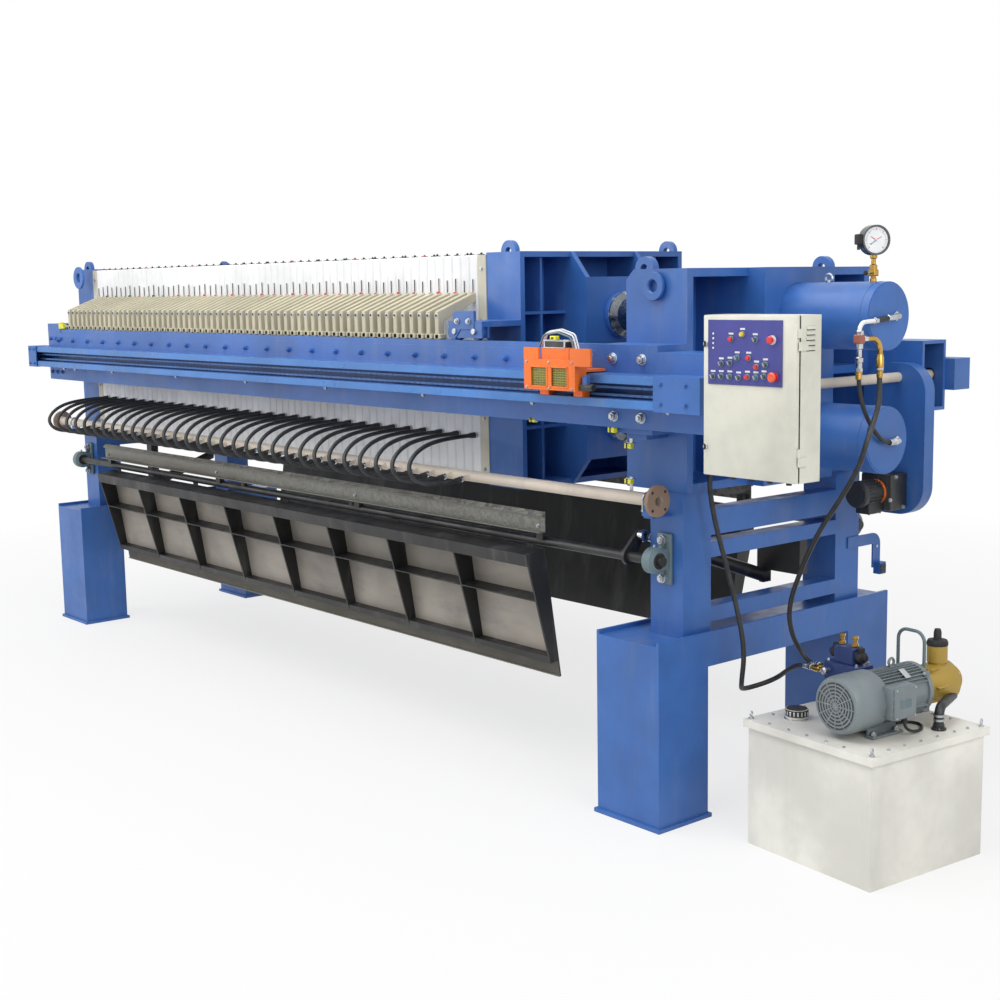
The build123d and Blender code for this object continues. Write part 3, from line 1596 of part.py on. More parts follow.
def make_motor_cable():
    """Loose cable from the terminal box that lies in a loop on the lid and ends at the motor's foot."""
    box_depth, box_length, box_height = terminal_box
    u = motor_offset + motor_diameter / 2 + box_depth / 2
    v = terminal_start + box_length * 0.66
    top_z = motor_z - box_height * 0.43
    lid_z = unit_height + cable_diameter / 2 + sliding_gap
    foot_v = fan_cover_end + motor_foot[1] / 2 + box_depth / 2
    points = [
        (u, v, top_z),
        (u, v, top_z - 38),
        (u - 1, v + 40, lid_z + 14),
        (u - 8, v + 105, lid_z),
        (u - 32, v + 165, lid_z),
        (u - 82, v + 205, lid_z),
        (u - 132, v + 185, lid_z),
        (u - 150, v + 132, lid_z),
        (u - 148, foot_v + 28, lid_z),
        (u - 148, foot_v, lid_z),
    ]
    with BuildPart() as cable:
        tube([unit_point(*point) for point in points], cable_diameter)
    save(cable, "motor_cable")


make_portal("feed_end_portal", feed_end_x)
make_portal("cylinder_end_portal", portal_2_x)
make_posts("feed_end_posts", feed_end_x + feed_post_setback, head_low_z, [top_crossbar])
make_posts(
    "cylinder_end_posts", portal_2_x + post_setback, seat_low_z, [top_crossbar, middle_crossbar, low_crossbar]
)
make_fixed_head()
make_facing("fixed_facing", fixed_face_x)
make_facing("moving_facing", pack_end_x)
make_plates("chamber_plates", 0)
make_plates("membrane_plates", 1)
make_beams()
make_tracks()
make_chain_boxes()
make_chains()
make_seat()
make_cylinder("upper_cylinder", cylinder_axes_z[0])
make_cylinder("lower_cylinder", cylinder_axes_z[1])
make_piston_rods()
make_moving_head()
make_manifold()
make_manifold_brackets()
make_membrane_hoses()
make_flap_bearings()
for flap_side, flap_crank_x in flap_cranks():
    side_name = "near" if flap_side == near else "far"
    make_flap(f"{side_name}_flap", flap_side)
    make_flap_shaft(f"{side_name}_flap_shaft", flap_side, flap_crank_x)
    make_gutter(f"{side_name}_gutter", flap_side)
    make_ram_rod(f"{side_name}_ram_rod", flap_side, flap_crank_x)
    make_shifter(f"{side_name}_plate_shifter", flap_side)
make_rams()
make_drive_shaft()
make_chain_cover()
make_gear_motor()
make_cabinet()
make_cabinet_door()
make_gauge()
make_cylinder_fittings()
make_hydraulic_hoses()
make_limit_switch()
make_tank()
make_pump_motor()
make_oil_pump()
make_valve_block()
make_motor_cable()
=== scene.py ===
import json
from itertools import product
from math import cos, pi, radians, sin, tan

import bmesh
import bpy
from mathutils import Matrix, Vector


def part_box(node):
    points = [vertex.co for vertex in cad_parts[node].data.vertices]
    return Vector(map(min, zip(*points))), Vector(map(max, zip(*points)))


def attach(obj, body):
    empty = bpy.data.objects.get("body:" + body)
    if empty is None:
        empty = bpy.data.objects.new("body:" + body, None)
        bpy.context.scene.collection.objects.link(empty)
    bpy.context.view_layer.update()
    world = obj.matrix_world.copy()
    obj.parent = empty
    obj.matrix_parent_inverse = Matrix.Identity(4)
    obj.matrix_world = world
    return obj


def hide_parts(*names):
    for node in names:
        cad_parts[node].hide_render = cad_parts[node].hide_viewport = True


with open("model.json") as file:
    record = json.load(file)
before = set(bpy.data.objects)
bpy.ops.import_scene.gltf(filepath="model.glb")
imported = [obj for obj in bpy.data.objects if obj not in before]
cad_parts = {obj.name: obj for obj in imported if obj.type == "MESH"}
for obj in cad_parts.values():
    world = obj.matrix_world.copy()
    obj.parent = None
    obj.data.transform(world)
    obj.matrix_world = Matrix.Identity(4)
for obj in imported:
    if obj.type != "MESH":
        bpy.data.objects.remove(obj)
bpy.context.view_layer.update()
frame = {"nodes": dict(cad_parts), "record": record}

# Camera, measured from the photograph in metres and degrees of the part's own frame
camera_place = (7.6231, -5.8981, 2.6111)
camera_yaw, camera_pitch, camera_roll = 50.055, 8.122, -0.985
camera_lens = 54.345

# Places and sizes that many pieces share, in metres; stations are measured along X from the feed end
feed_end = -3.89328
near, far = sides = (-1, 1)
ahead, behind, to_near, to_far, downwards = (1, 0, 0), (-1, 0, 0), (0, -1, 0), (0, 1, 0), (0, 0, -1)
pack_start, plate_pitch, plate_count = 0.353, 0.076, 62
pack_end = pack_start + plate_pitch * plate_count
plate_half = 0.625
plate_foot, plate_top = 1.523, 2.773
plate_middle = (plate_top + plate_foot) / 2
port_z = 1.786
beam_face = 0.894
strip_top = 2.323
track_face = 1.019
track_foot, track_top = 2.037, 2.191
chain_y, chain_z = 0.958, 2.110
shaft_y, shaft_z = 0.767, 1.290
pipe_y, pipe_z = 0.809, 1.588
stub_shift = 0.177
stub_end_y, stub_end_z = -0.88327, 1.57756
stub_way = Vector((0, -0.990268, -0.139173))
post_stations = (0.207, 6.533)
inlet_z = 2.148
cap_face = 7.293
upper_axis, lower_axis = 2.4365, 1.8595
door_face = -1.103
lid_top = 0.600
motor_u, motor_z = 0.1086, 0.757


def plate_x(index):
    """Station of a plate's middle."""
    return pack_start + plate_pitch * (index + 0.5)


# Finishes


def tint(red, green, blue):
    """Colour as it reads on a screen, 0 to 255, turned to the shader's linear values."""
    screen = [c / 255 for c in (red, green, blue)]
    return tuple(c / 12.92 if c < 0.04045 else ((c + 0.055) / 1.055) ** 2.4 for c in screen)


def shade(colour, share):
    """The same colour lighter or darker."""
    return tuple(min(1.0, c * share) for c in colour)


def feed(tree, node, inputs):
    """Each input of a node gets a link from a socket, or a value."""
    for name, value in inputs.items():
        if isinstance(value, bpy.types.NodeSocket):
            tree.links.new(value, node.inputs[name])
        else:
            node.inputs[name].default_value = value


def grow(tree, kind, inputs, output=0, **settings):
    """Output socket of a new shader node."""
    node = tree.nodes.new("ShaderNode" + kind)
    for name, value in settings.items():
        setattr(node, name, value)
    feed(tree, node, inputs)
    return node.outputs[output]


class Finish:
    """Material being mixed: patterns on the object's own coordinates feed one shader."""

    def __init__(self, name, colour, roughness, metallic=0.0):
        self.material = bpy.data.materials.new(name)
        self.material.use_nodes = True
        self.coat({"Base Color": (*colour, 1), "Roughness": roughness, "Metallic": metallic})
        self.place = self.grow("TexCoord", {}, "Object")
        self.colour = None

    def coat(self, inputs):
        """Sets or links inputs of the shader itself."""
        tree = self.material.node_tree
        feed(tree, tree.nodes["Principled BSDF"], inputs)
        return self

    def grow(self, kind, inputs, output=0, **settings):
        return grow(self.material.node_tree, kind, inputs, output, **settings)

    def noise(self, scale, detail=3.0, roughness=0.55, stretch=None):
        """Cloudy value, on coordinates that may be scaled by a different amount along each axis."""
        place = self.place
        if stretch:
            place = self.grow("Mapping", {"Vector": place, "Scale": stretch}, "Vector")
        inputs = {"Vector": place, "Scale": scale, "Detail": detail, "Roughness": roughness}
        return self.grow("TexNoise", inputs, "Fac")

    def ramp(self, value, low, high, out_low=0.0, out_high=1.0):
        """Value between low and high spread over the output's range."""
        inputs = {"Value": value, "From Min": low, "From Max": high, "To Min": out_low, "To Max": out_high}
        return self.grow("MapRange", inputs, "Result", interpolation_type="SMOOTHSTEP")

    def times(self, first, second):
        return self.grow("Math", {0: first, 1: second}, operation="MULTIPLY")

    def over(self, amount, colour, under=None):
        """Lays a colour over what is there by an amount, and keeps the result as the base colour."""
        below = (*under, 1) if self.colour is None else self.colour
        inputs = {"A": below, "B": (*colour, 1), "Factor": amount}
        self.colour = self.grow("Mix", inputs, "Result", data_type="RGBA")
        return self.coat({"Base Color": self.colour})

    def clouds(self, colour, scale, detail, low, high, dark, light):
        """First coat, in clouds between a darker and a lighter shade."""
        amount = self.ramp(self.noise(scale, detail), low, high)
        return self.over(amount, shade(colour, light), under=shade(colour, dark))

    def rough(self, value, low, high):
        return self.coat({"Roughness": self.ramp(value, 0.3, 0.7, low, high)})

    def rounded(self, radius):
        """Normal of the surface with its edges rounded."""
        return self.grow("Bevel", {"Radius": radius}, "Normal", samples=3)

    def relief(self, value, distance, strength=1.0, rounding=0.0):
        """Bump from a value, on edges rounded by the given radius; gives the finished material."""
        inputs = {"Height": value, "Strength": strength, "Distance": distance}
        if rounding:
            inputs["Normal"] = self.rounded(rounding)
        return self.coat({"Normal": self.grow("Bump", inputs, "Normal")}).material

    def edges(self, radius):
        """How near a point is to an outer edge, 0 to 1."""
        normals = {0: self.rounded(radius), 1: self.grow("NewGeometry", {}, "Normal")}
        return self.ramp(self.grow("VectorMath", normals, "Value", operation="DOT_PRODUCT"), 1.0, 0.86)


def painted(name, colour, roughness=0.38, dust=0.12, worn=None):
    """Sprayed steel: uneven tone, dust in streaks, lighter worn edges and a fine orange-peel skin."""
    finish = Finish(name, colour, roughness).clouds(colour, 1.6, 6.0, 0.35, 0.65, 0.88, 1.14)
    finish.over(finish.ramp(finish.noise(9.0, 5.0), 0.42, 0.75, 0.0, 0.35), shade(colour, 0.86))
    streaks = finish.noise(2.2, 6.0, 0.65, stretch=(3.0, 3.0, 0.5))
    finish.over(finish.ramp(streaks, 0.5, 0.78, 0.0, dust), tint(150, 150, 148))
    if worn:
        chips = finish.ramp(finish.noise(60.0, 4.0, 0.7), 0.48, 0.62)
        finish.over(finish.times(finish.edges(0.004), chips), worn)
    finish.rough(finish.noise(5.0, 5.0), roughness - 0.08, roughness + 0.12)
    return finish.relief(finish.noise(420.0, 2.0), 0.0004, 0.35, 0.002)


def bare_metal(name, colour, roughness):
    """Turned, drawn or plated metal with fine scratches."""
    finish = Finish(name, colour, roughness, 1.0).clouds(colour, 14.0, 5.0, 0.3, 0.7, 0.8, 1.12)
    lines = finish.noise(60.0, 4.0, 0.6)
    return finish.rough(lines, roughness - 0.08, roughness + 0.1).relief(lines, 0.0003, 0.3, 0.001)


def moulded(name, colour, roughness, speckle):
    """Moulded plastic with faint flow marks and handling grime."""
    finish = Finish(name, colour, roughness).clouds(colour, 2.4, 5.0, 0.35, 0.7, 0.9, 1.05)
    grime = finish.noise(3.5, 8.0, 0.7, stretch=(2.0, 2.0, 0.6))
    finish.over(finish.ramp(grime, 0.5, 0.8, 0.0, speckle), shade(colour, 0.62))
    finish.rough(finish.noise(7.0, 3.0), roughness - 0.1, roughness + 0.1)
    return finish.relief(finish.noise(240.0, 3.0), 0.0006, 0.3, 0.0015)


def woven(name, colour):
    """Filter cloth: fine cross weave, pressed creases and faint cake stains."""
    finish = Finish(name, colour, 0.85)
    threads = {"Vector": finish.place, "Scale": 260.0, "Distortion": 1.5}
    weave = finish.grow("TexWave", threads, "Fac", bands_direction="Z")
    stains = finish.noise(3.0, 6.0, 0.6, stretch=(1.0, 1.0, 0.5))
    finish.over(finish.ramp(stains, 0.45, 0.75, 0.0, 0.5), tint(196, 186, 164), under=colour)
    return finish.rough(weave, 0.75, 0.95).relief(finish.times(weave, finish.noise(8.0, 3.0)), 0.0008, 0.6)


def rubbery(name, colour, roughness=0.5):
    """Hose rubber: cloth-wrapped skin with talc in its low spots."""
    finish = Finish(name, colour, roughness).clouds(colour, 26.0, 4.0, 0.4, 0.8, 1.0, 2.2)
    finish.rough(finish.noise(11.0, 3.0), roughness - 0.12, roughness + 0.12)
    return finish.relief(finish.noise(900.0, 2.0), 0.0005, 0.5)


def zinc_sheet(name, colour):
    """Galvanised sheet with its spangle and rain streaks."""
    finish = Finish(name, colour, 0.45, 0.7)
    spangle = finish.grow("TexVoronoi", {"Vector": finish.place, "Scale": 55.0}, "Color")
    flake = finish.grow("SeparateColor", {"Color": spangle}, "Red")
    finish.over(finish.ramp(flake, 0.0, 1.0), shade(colour, 1.3), under=shade(colour, 0.8))
    stains = finish.noise(1.4, 7.0, 0.7, stretch=(0.6, 1.0, 7.0))
    finish.over(finish.ramp(stains, 0.45, 0.75, 0.0, 0.6), tint(92, 84, 74))
    return finish.rough(flake, 0.34, 0.6).relief(flake, 0.0003, 0.2, 0.001)


def oily_sheet(name, colour):
    """Flap sheet: rubbed taupe coating, wiped darker in streaks."""
    finish = Finish(name, colour, 0.5).clouds(colour, 1.1, 6.0, 0.35, 0.65, 0.75, 1.2)
    wipes = finish.noise(3.0, 6.0, 0.7, stretch=(0.6, 3.0, 2.0))
    finish.over(finish.ramp(wipes, 0.5, 0.8, 0.0, 0.5), tint(96, 100, 104))
    return finish.rough(wipes, 0.35, 0.6).relief(finish.noise(130.0, 3.0), 0.0006, 0.3)


def lamp_lens(name, colour):
    """Tinted plastic of a push button or lamp, with a faint haze under its gloss."""
    finish = Finish(name, colour, 0.25).clouds(colour, 90.0, 3.0, 0.3, 0.7, 0.8, 1.25)
    finish.coat({"Coat Weight": 0.4})
    return finish.rough(finish.noise(140.0), 0.18, 0.34).material


def guard_mesh(name, colour):
    """Expanded mesh behind the trolley's windows: bright strands over openings painted dark as the shade inside
    the guard.
    """
    finish = Finish(name, colour, 0.45)
    cells = {"Vector": finish.place, "Scale": 85.0, "Randomness": 0.25}
    rim = finish.grow("TexVoronoi", cells, "Distance", feature="DISTANCE_TO_EDGE")
    # The open cells are painted dark as painted shade of the guard's inside. The same mask also gives the bump.
    open_part = finish.ramp(rim, 0.08, 0.16)
    finish.over(open_part, tint(34, 36, 16), under=colour)
    finish.over(finish.ramp(finish.noise(12.0, 4.0), 0.45, 0.7, 0.0, 0.5), tint(150, 140, 60))
    return finish.relief(open_part, 0.002, -0.6)


blue = tint(55, 102, 172)
finishes = {
    "blue_paint": painted("machine blue paint", blue, 0.36, 0.16, shade(blue, 1.7)),
    "track_blue": painted("lighter track paint", tint(62, 120, 190), 0.33, 0.2, tint(120, 165, 215)),
    "plate_white": moulded("filter plate plastic", tint(241, 242, 244), 0.6, 0.2),
    "cloth": woven("filter cloth", tint(236, 236, 230)),
    "facing_beige": moulded("facing plate plastic", tint(206, 202, 184), 0.6, 0.4),
    "handle_beige": moulded("plate handle plastic", tint(194, 187, 162), 0.5, 0.6),
    "chrome": bare_metal("chromed rod", tint(205, 207, 210), 0.14),
    # The piston rods' chrome is darkened to grey as painted shade, for the shadow that falls on them.
    "rod_chrome": bare_metal("piston rod chrome darkened as painted shade", tint(116, 122, 130), 0.24),
    "zinc_bolt": bare_metal("zinc-plated bolts", tint(186, 190, 194), 0.32),
    # The chain's light blue is painted light: it is lighter than chain steel so the shaded groove reads as lit.
    # Its streaks are dust.
    "chain_steel": painted("chain lightened as painted light, with dust", tint(96, 140, 198), 0.5, 0.3),
    "hose_rubber": rubbery("hose rubber", tint(30, 31, 32)),
    "galvanised": zinc_sheet("galvanised sheet", tint(117, 117, 112)),
    "flap_black": painted("black frame paint", tint(27, 27, 28), 0.42, 0.2, tint(90, 90, 88)),
    "flap_sheet": oily_sheet("flap sheet coating", tint(150, 143, 134)),
    "pale_edge": painted("pale edge strip", tint(130, 126, 116), 0.5, 0.5),
    "bearing_grey": painted("bearing casting paint", tint(98, 118, 124), 0.42, 0.35, tint(150, 155, 155)),
    "pipe_beige": painted("pipe primer", tint(208, 196, 180), 0.4, 0.5, tint(225, 218, 206)),
    "flange_brown": painted("weathered flange steel", tint(150, 124, 104), 0.55, 0.5, tint(190, 170, 150)),
    "guard_orange": painted("guard orange paint", tint(236, 110, 20), 0.32, 0.12, tint(250, 170, 120)),
    "guard_mesh": guard_mesh("guard mesh", tint(166, 160, 44)),
    "cabinet_cream": painted("cream cabinet paint", tint(213, 212, 199), 0.36, 0.1, tint(230, 228, 218)),
    "tank_cream": painted("cream tank paint", tint(229, 227, 218), 0.4, 0.12, tint(240, 238, 230)),
    "panel_violet": painted("control panel sheet", tint(62, 64, 140), 0.34, 0.1),
    "panel_grey": moulded("light grey device plastic", tint(176, 178, 178), 0.5, 0.2),
    "motor_grey": painted("motor casting paint", tint(121, 131, 135), 0.4, 0.25, tint(170, 178, 182)),
    "pump_gold": painted("pump casting paint", tint(176, 146, 62), 0.35, 0.3, tint(205, 185, 120)),
    "valve_blue": painted("valve block paint", tint(40, 62, 118), 0.35, 0.3, tint(110, 125, 160)),
    "drive_black": painted("drive casting paint", tint(34, 36, 38), 0.42, 0.3, tint(110, 110, 108)),
    "brass": bare_metal("brass fitting", tint(196, 158, 84), 0.24),
    "copper_red": painted("tee primer", tint(150, 82, 60), 0.4, 0.3),
    "white_mark": moulded("white label plastic", tint(232, 234, 238), 0.4, 0.1),
    "sensor_yellow": lamp_lens("sensor yellow", tint(226, 222, 40)),
    "red_lens": lamp_lens("red button", tint(214, 44, 40)),
    "yellow_lens": lamp_lens("yellow lamp", tint(240, 200, 40)),
    "dark_lens": lamp_lens("dark button", tint(60, 76, 96)),
    "green_lens": lamp_lens("green button", tint(70, 110, 120)),
    "orange_lens": lamp_lens("stop button", tint(232, 88, 48)),
    "glass": lamp_lens("gauge glass rim", tint(70, 72, 76)),
    "dial_white": moulded("gauge dial", tint(238, 240, 242), 0.35, 0.05),
    "tie_black": rubbery("plate tie cord", tint(38, 36, 36), 0.7),
    "tie_red": rubbery("red tie", tint(170, 50, 52), 0.6),
}
record_slots = {entry["slot"] for entry in frame["record"]["materials"]}

# Building blocks


def sealed(shape):
    """Mesh of a finished small shape, ready to be copied into pieces."""
    mesh = bpy.data.meshes.new("shape")
    shape.to_mesh(mesh)
    shape.free()
    return mesh


def only(kind, parts):
    """The vertices or the edges among a shape's parts."""
    return [part for part in parts if isinstance(part, kind)]


def soften(shape, radius, segments=1, edges=None):
    """Bevels a shape's edges."""
    bmesh.ops.bevel(
        shape, geom=edges or shape.edges[:], offset=radius, offset_type="OFFSET", affect="EDGES",
        segments=segments, profile=0.5, material=-1, clamp_overlap=True,
    )


def block(width, depth, height, edge=0.0, segments=1):
    """Block centred on the origin."""
    shape = bmesh.new()
    bmesh.ops.create_cube(shape, size=1, matrix=Matrix.Diagonal((width, depth, height, 1)))
    if edge:
        soften(shape, edge, segments)
    return sealed(shape)


def add_cone(shape, sides, radius, top, depth, foot=0.0):
    """Round or many-sided solid along Z, in a shape being built."""
    bmesh.ops.create_cone(
        shape, cap_ends=True, segments=sides, radius1=radius, radius2=top, depth=depth,
        matrix=spot(0, 0, foot + depth / 2),
    )


def rod(radius, length, sides=16, edge=0.0):
    """Round or many-sided bar that stands on the origin along Z."""
    shape = bmesh.new()
    add_cone(shape, sides, radius, radius, length)
    if edge:
        rims = [e for e in shape.edges if abs(e.verts[0].co.z - e.verts[1].co.z) < 1e-7]
        soften(shape, edge, 1, rims)
    return sealed(shape)


def hex_bolt(size, head=None):
    """Hexagon head on its washer, standing on the origin."""
    shape = bmesh.new()
    washer, head = size * 0.16, head or size * 0.68
    add_cone(shape, 14, size * 1.1, size * 1.1, washer)
    add_cone(shape, 6, size * 0.9, size * 0.9, head, washer)
    add_cone(shape, 10, size * 0.5, size * 0.44, size * 0.35, washer + head - size * 0.005)
    return sealed(shape)


def turned(profile, steps=28):
    """Turned shape from (radius, height) points in millimetres; a profile off the axis closes on itself."""
    if profile[0] != profile[-1] and (profile[0][0] or profile[-1][0]):
        profile = profile + [profile[0]]
    shape = bmesh.new()
    corners = [shape.verts.new((radius / 1000, 0, height / 1000)) for radius, height in profile]
    edges = [shape.edges.new(pair) for pair in zip(corners, corners[1:])]
    bmesh.ops.spin(
        shape, geom=corners + edges, cent=(0, 0, 0), axis=(0, 0, 1), angle=2 * pi, steps=steps, use_merge=True,
    )
    bmesh.ops.remove_doubles(shape, verts=shape.verts[:], dist=1e-6)
    bmesh.ops.recalc_face_normals(shape, faces=shape.faces[:])
    return sealed(shape)


def cut_plate(outline, thickness, edge=0.0):
    """Flat plate of an outline in X and Y in millimetres, extruded up Z."""
    shape = bmesh.new()
    face = shape.faces.new([shape.verts.new((x / 1000, y / 1000, 0)) for x, y in outline])
    raised = bmesh.ops.extrude_face_region(shape, geom=[face])["geom"]
    bmesh.ops.translate(shape, vec=(0, 0, thickness), verts=only(bmesh.types.BMVert, raised))
    bmesh.ops.recalc_face_normals(shape, faces=shape.faces[:])
    if edge:
        soften(shape, edge)
    return sealed(shape)


def towards(direction):
    """Turn that points Z along a direction."""
    return Vector(direction).to_track_quat("Z", "Y").to_matrix().to_4x4()


def about(axis, angle):
    """Turn about one of the axes."""
    return Matrix.Rotation(angle, 4, axis)


def facing(along_x, along_y, along_z):
    """Turn of a shape's own three axes to the given ones."""
    return Matrix((along_x, along_y, along_z)).transposed().to_4x4()


def spot(x, y, z, direction=None, turn=0.0):
    """Place of a copied shape, with its Z along a direction."""
    place = Matrix.Translation((x, y, z))
    if direction:
        place = place @ towards(direction)
    return place @ about("Z", turn) if turn else place


def at(station, y, z, direction=None, turn=0.0):
    """Place of a copied shape at a station."""
    return spot(feed_end + station, y, z, direction, turn)


unit = at(7.450, -0.340, 0) @ about("Z", radians(-5.2))


def on_unit(u, v, z, direction=None):
    """Place in the power unit's own axes, from the middle of its tank."""
    return unit @ spot(u, v, z, direction)


def bent_pipe(points, radius, bend, sides=14):
    """Pipe of straight runs and round bends, drawn out from a circle."""
    points = [Vector(point) for point in points]
    shape = bmesh.new()
    heading = (points[1] - points[0]).normalized()
    start = Matrix.Translation(points[0]) @ towards(heading)
    bmesh.ops.create_circle(shape, cap_ends=True, segments=sides, radius=radius, matrix=start)
    rim = shape.edges[:]
    here = points[0]
    for corner, after in zip(points[1:], points[2:] + [None]):
        stop = corner
        if after:
            leaving = (after - corner).normalized()
            turn = heading.angle(leaving)
            back = bend * tan(turn / 2)
            stop = corner - heading * back
        drawn = bmesh.ops.extrude_edge_only(shape, edges=rim)["geom"]
        ring = only(bmesh.types.BMVert, drawn)
        rim = [e for e in only(bmesh.types.BMEdge, drawn) if all(v in ring for v in e.verts)]
        bmesh.ops.translate(shape, vec=stop - here, verts=ring)
        if after:
            axis = heading.cross(leaving).normalized()
            spun = bmesh.ops.spin(
                shape, geom=ring + rim, cent=stop + axis.cross(heading) * bend, axis=axis, angle=turn,
                steps=max(3, int(turn / 0.22)),
            )["geom_last"]
            rim = only(bmesh.types.BMEdge, spun)
            here = corner + leaving * back
            heading = leaving
    bmesh.ops.edgeloop_fill(shape, edges=rim)
    bmesh.ops.recalc_face_normals(shape, faces=shape.faces[:])
    return sealed(shape)


class Piece:
    """Piece of the press put together from copied shapes; a copy has the piece's finish or its own."""

    def __init__(self, finish=None):
        self.mesh = bmesh.new()
        self.finish = finish
        self.slots = []

    def add(self, shape, place, finish=None):
        finish = finish or self.finish
        if finish not in self.slots:
            self.slots.append(finish)
        placed = shape.copy()
        placed.transform(place)
        if place.determinant() < 0:
            placed.flip_normals()
        placed.polygons.foreach_set("material_index", [self.slots.index(finish)] * len(placed.polygons))
        self.mesh.from_mesh(placed)
        bpy.data.meshes.remove(placed)

    def ring(self, shape, count, reach, base, finish=None, start=0.0, upright=False):
        """Copies of a shape in a circle round the base's Z, turned with it unless they stay upright."""
        for index in range(count):
            angle = start + 2 * pi * index / count
            place = base @ about("Z", angle) @ spot(*reach)
            self.add(shape, place @ about("Z", -angle) if upright else place, finish)

    def done(self, name, body="frame", stands_for=()):
        mesh = bpy.data.meshes.new(name)
        self.mesh.to_mesh(mesh)
        self.mesh.free()
        for finish in self.slots:
            mesh.materials.append(finishes[finish])
        mesh.shade_smooth()
        mesh.set_sharp_from_angle(angle=radians(32))
        piece = bpy.data.objects.new(name, mesh)
        bpy.context.scene.collection.objects.link(piece)
        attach(piece, body)
        if stands_for:
            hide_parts(*stands_for)
        slot = next((finish for finish in self.slots if finish in record_slots), None)


small_bolt, middle_bolt, large_bolt = hex_bolt(0.010), hex_bolt(0.015), hex_bolt(0.022)

# Cords

oil_ports = [
    ((2.9567, -0.2, 1.8595), to_near), ((3.1753, -0.2501, 0.775), (-0.99588, 0.09063, 0)),
    ((3.4317, -0.103, 2.203), downwards), ((3.1798, -0.2003, 0.775), (-0.99588, 0.09063, 0)),
    ((3.4317, -0.26, 2.203), downwards), ((3.4317, 0.03, 1.8525), to_near),
]


def hose(name, node, route, diameter):
    """Free hose or cable on a smooth line through its route's points."""
    curve = bpy.data.curves.new(name, "CURVE")
    curve.dimensions = "3D"
    curve.bevel_depth = diameter / 2
    curve.bevel_resolution = 3
    curve.resolution_u = 8
    curve.use_fill_caps = True
    line = curve.splines.new("NURBS")
    line.points.add(len(route) - 1)
    for point, place in zip(line.points, route):
        point.co = (*place, 1)
    line.order_u = 3
    line.use_endpoint_u = True
    curve.materials.append(finishes["hose_rubber"])
    piece = bpy.data.objects.new(name, curve)
    bpy.context.scene.collection.objects.link(piece)
    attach(piece, "frame")
    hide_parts(node)
    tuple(route[0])


def add_hoses():
    """The three oil hoses, the motor cable and a membrane hose for every second plate."""
    hose("side_port_hose", "hydraulic_hoses", [
        (2.9567, -0.2, 1.8595), (2.9567, -0.29, 1.8595), (2.9287, -0.42, 1.8515), (2.8717, -0.545, 1.8145),
        (2.8287, -0.6, 1.7145), (2.8267, -0.556, 1.4995), (2.8497, -0.5, 1.2845), (2.8967, -0.47, 1.0695),
        (2.9447, -0.46, 0.8515), (2.9377, -0.48, 0.6795), (2.8317, -0.35, 0.6115), (2.9217, -0.215, 0.6545),
        (3.0319, -0.237, 0.735), (3.1066, -0.2438, 0.775), (3.1753, -0.2501, 0.775),
    ], 0.024)
    hose("tee_hose", "hydraulic_hoses", [
        (3.4317, -0.103, 2.203), (3.4317, -0.103, 2.123), (3.4487, -0.128, 2.038), (3.4637, -0.185, 1.961),
        (3.4667, -0.245, 1.863), (3.4437, -0.262, 1.758), (3.3467, -0.256, 1.613), (3.2177, -0.25, 1.446),
        (3.1067, -0.25, 1.238), (3.0317, -0.25, 1.038), (3.0467, -0.235, 0.903), (3.0733, -0.1906, 0.813),
        (3.1251, -0.1953, 0.775), (3.1798, -0.2003, 0.775),
    ], 0.024)
    hose("lower_cap_hose", "hydraulic_hoses", [
        (3.4317, -0.26, 2.203), (3.4317, -0.26, 2.133), (3.4267, -0.23, 2.055), (3.4237, -0.187, 1.985),
        (3.4237, -0.132, 1.918), (3.4287, -0.07, 1.8655), (3.4317, -0.022, 1.8525), (3.4317, 0.03, 1.8525),
    ], 0.020)
    hose("motor_cable_line", "motor_cable", [
        (3.8117, -0.403, 0.6904), (3.8117, -0.403, 0.6523), (3.8143, -0.3631, 0.6213),
        (3.8132, -0.2978, 0.6073), (3.7947, -0.2358, 0.6073), (3.7486, -0.1915, 0.6073),
        (3.697, -0.2068, 0.6073), (3.6742, -0.258, 0.6073), (3.673, -0.2938, 0.6073), (3.6704, -0.3217, 0.6073),
    ], 0.014)
    for index in range(1, plate_count, 2):
        x = feed_end + plate_x(index)
        end = x + stub_shift
        hose(f"membrane_hose_{index}", "membrane_hoses", [
            (x, -plate_half, port_z), (x, -0.83, port_z), (x + 0.05, -1.06, 1.755), (x + 0.1, -1.19, 1.665),
            (x + 0.135, -1.15, 1.575), (end, -1.0021, 1.5609), (end, stub_end_y, stub_end_z),
        ], 0.024)


def add_hose_ends():
    """Crimped ferrules and nuts at both ends of every hose."""
    ferrule = turned([(0, 0), (16.5, 0), (16.5, 8), (14.5, 10), (15.5, 14), (14.5, 18), (15.5, 22),
                      (14.5, 34), (12.5, 36), (12.5, 30)], 14)
    nut = rod(0.017, 0.016, 6, 0.0015)
    piece = Piece("tie_black")
    for index in range(1, plate_count, 2):
        x = plate_x(index)
        piece.add(nut, at(x, -plate_half, port_z, to_near), "zinc_bolt")
        piece.add(ferrule, at(x, -plate_half - 0.016, port_z, to_near))
        end = Vector((x + stub_shift, stub_end_y, stub_end_z))
        piece.add(nut, at(*(end - stub_way * 0.012), stub_way), "chrome")
        piece.add(ferrule, at(*(end + stub_way * 0.004), stub_way))
    piece.done("membrane_hose_ends")
    piece = Piece("zinc_bolt")
    for place, way in oil_ports:
        place, way = Vector(place), Vector(way)
        piece.add(nut, spot(*(place - way * 0.006), way), "chrome")
        piece.add(ferrule, spot(*(place + way * 0.010), way), "brass" if way.z < 0 else None)
    piece.done("oil_hose_ends")


# Filter pack


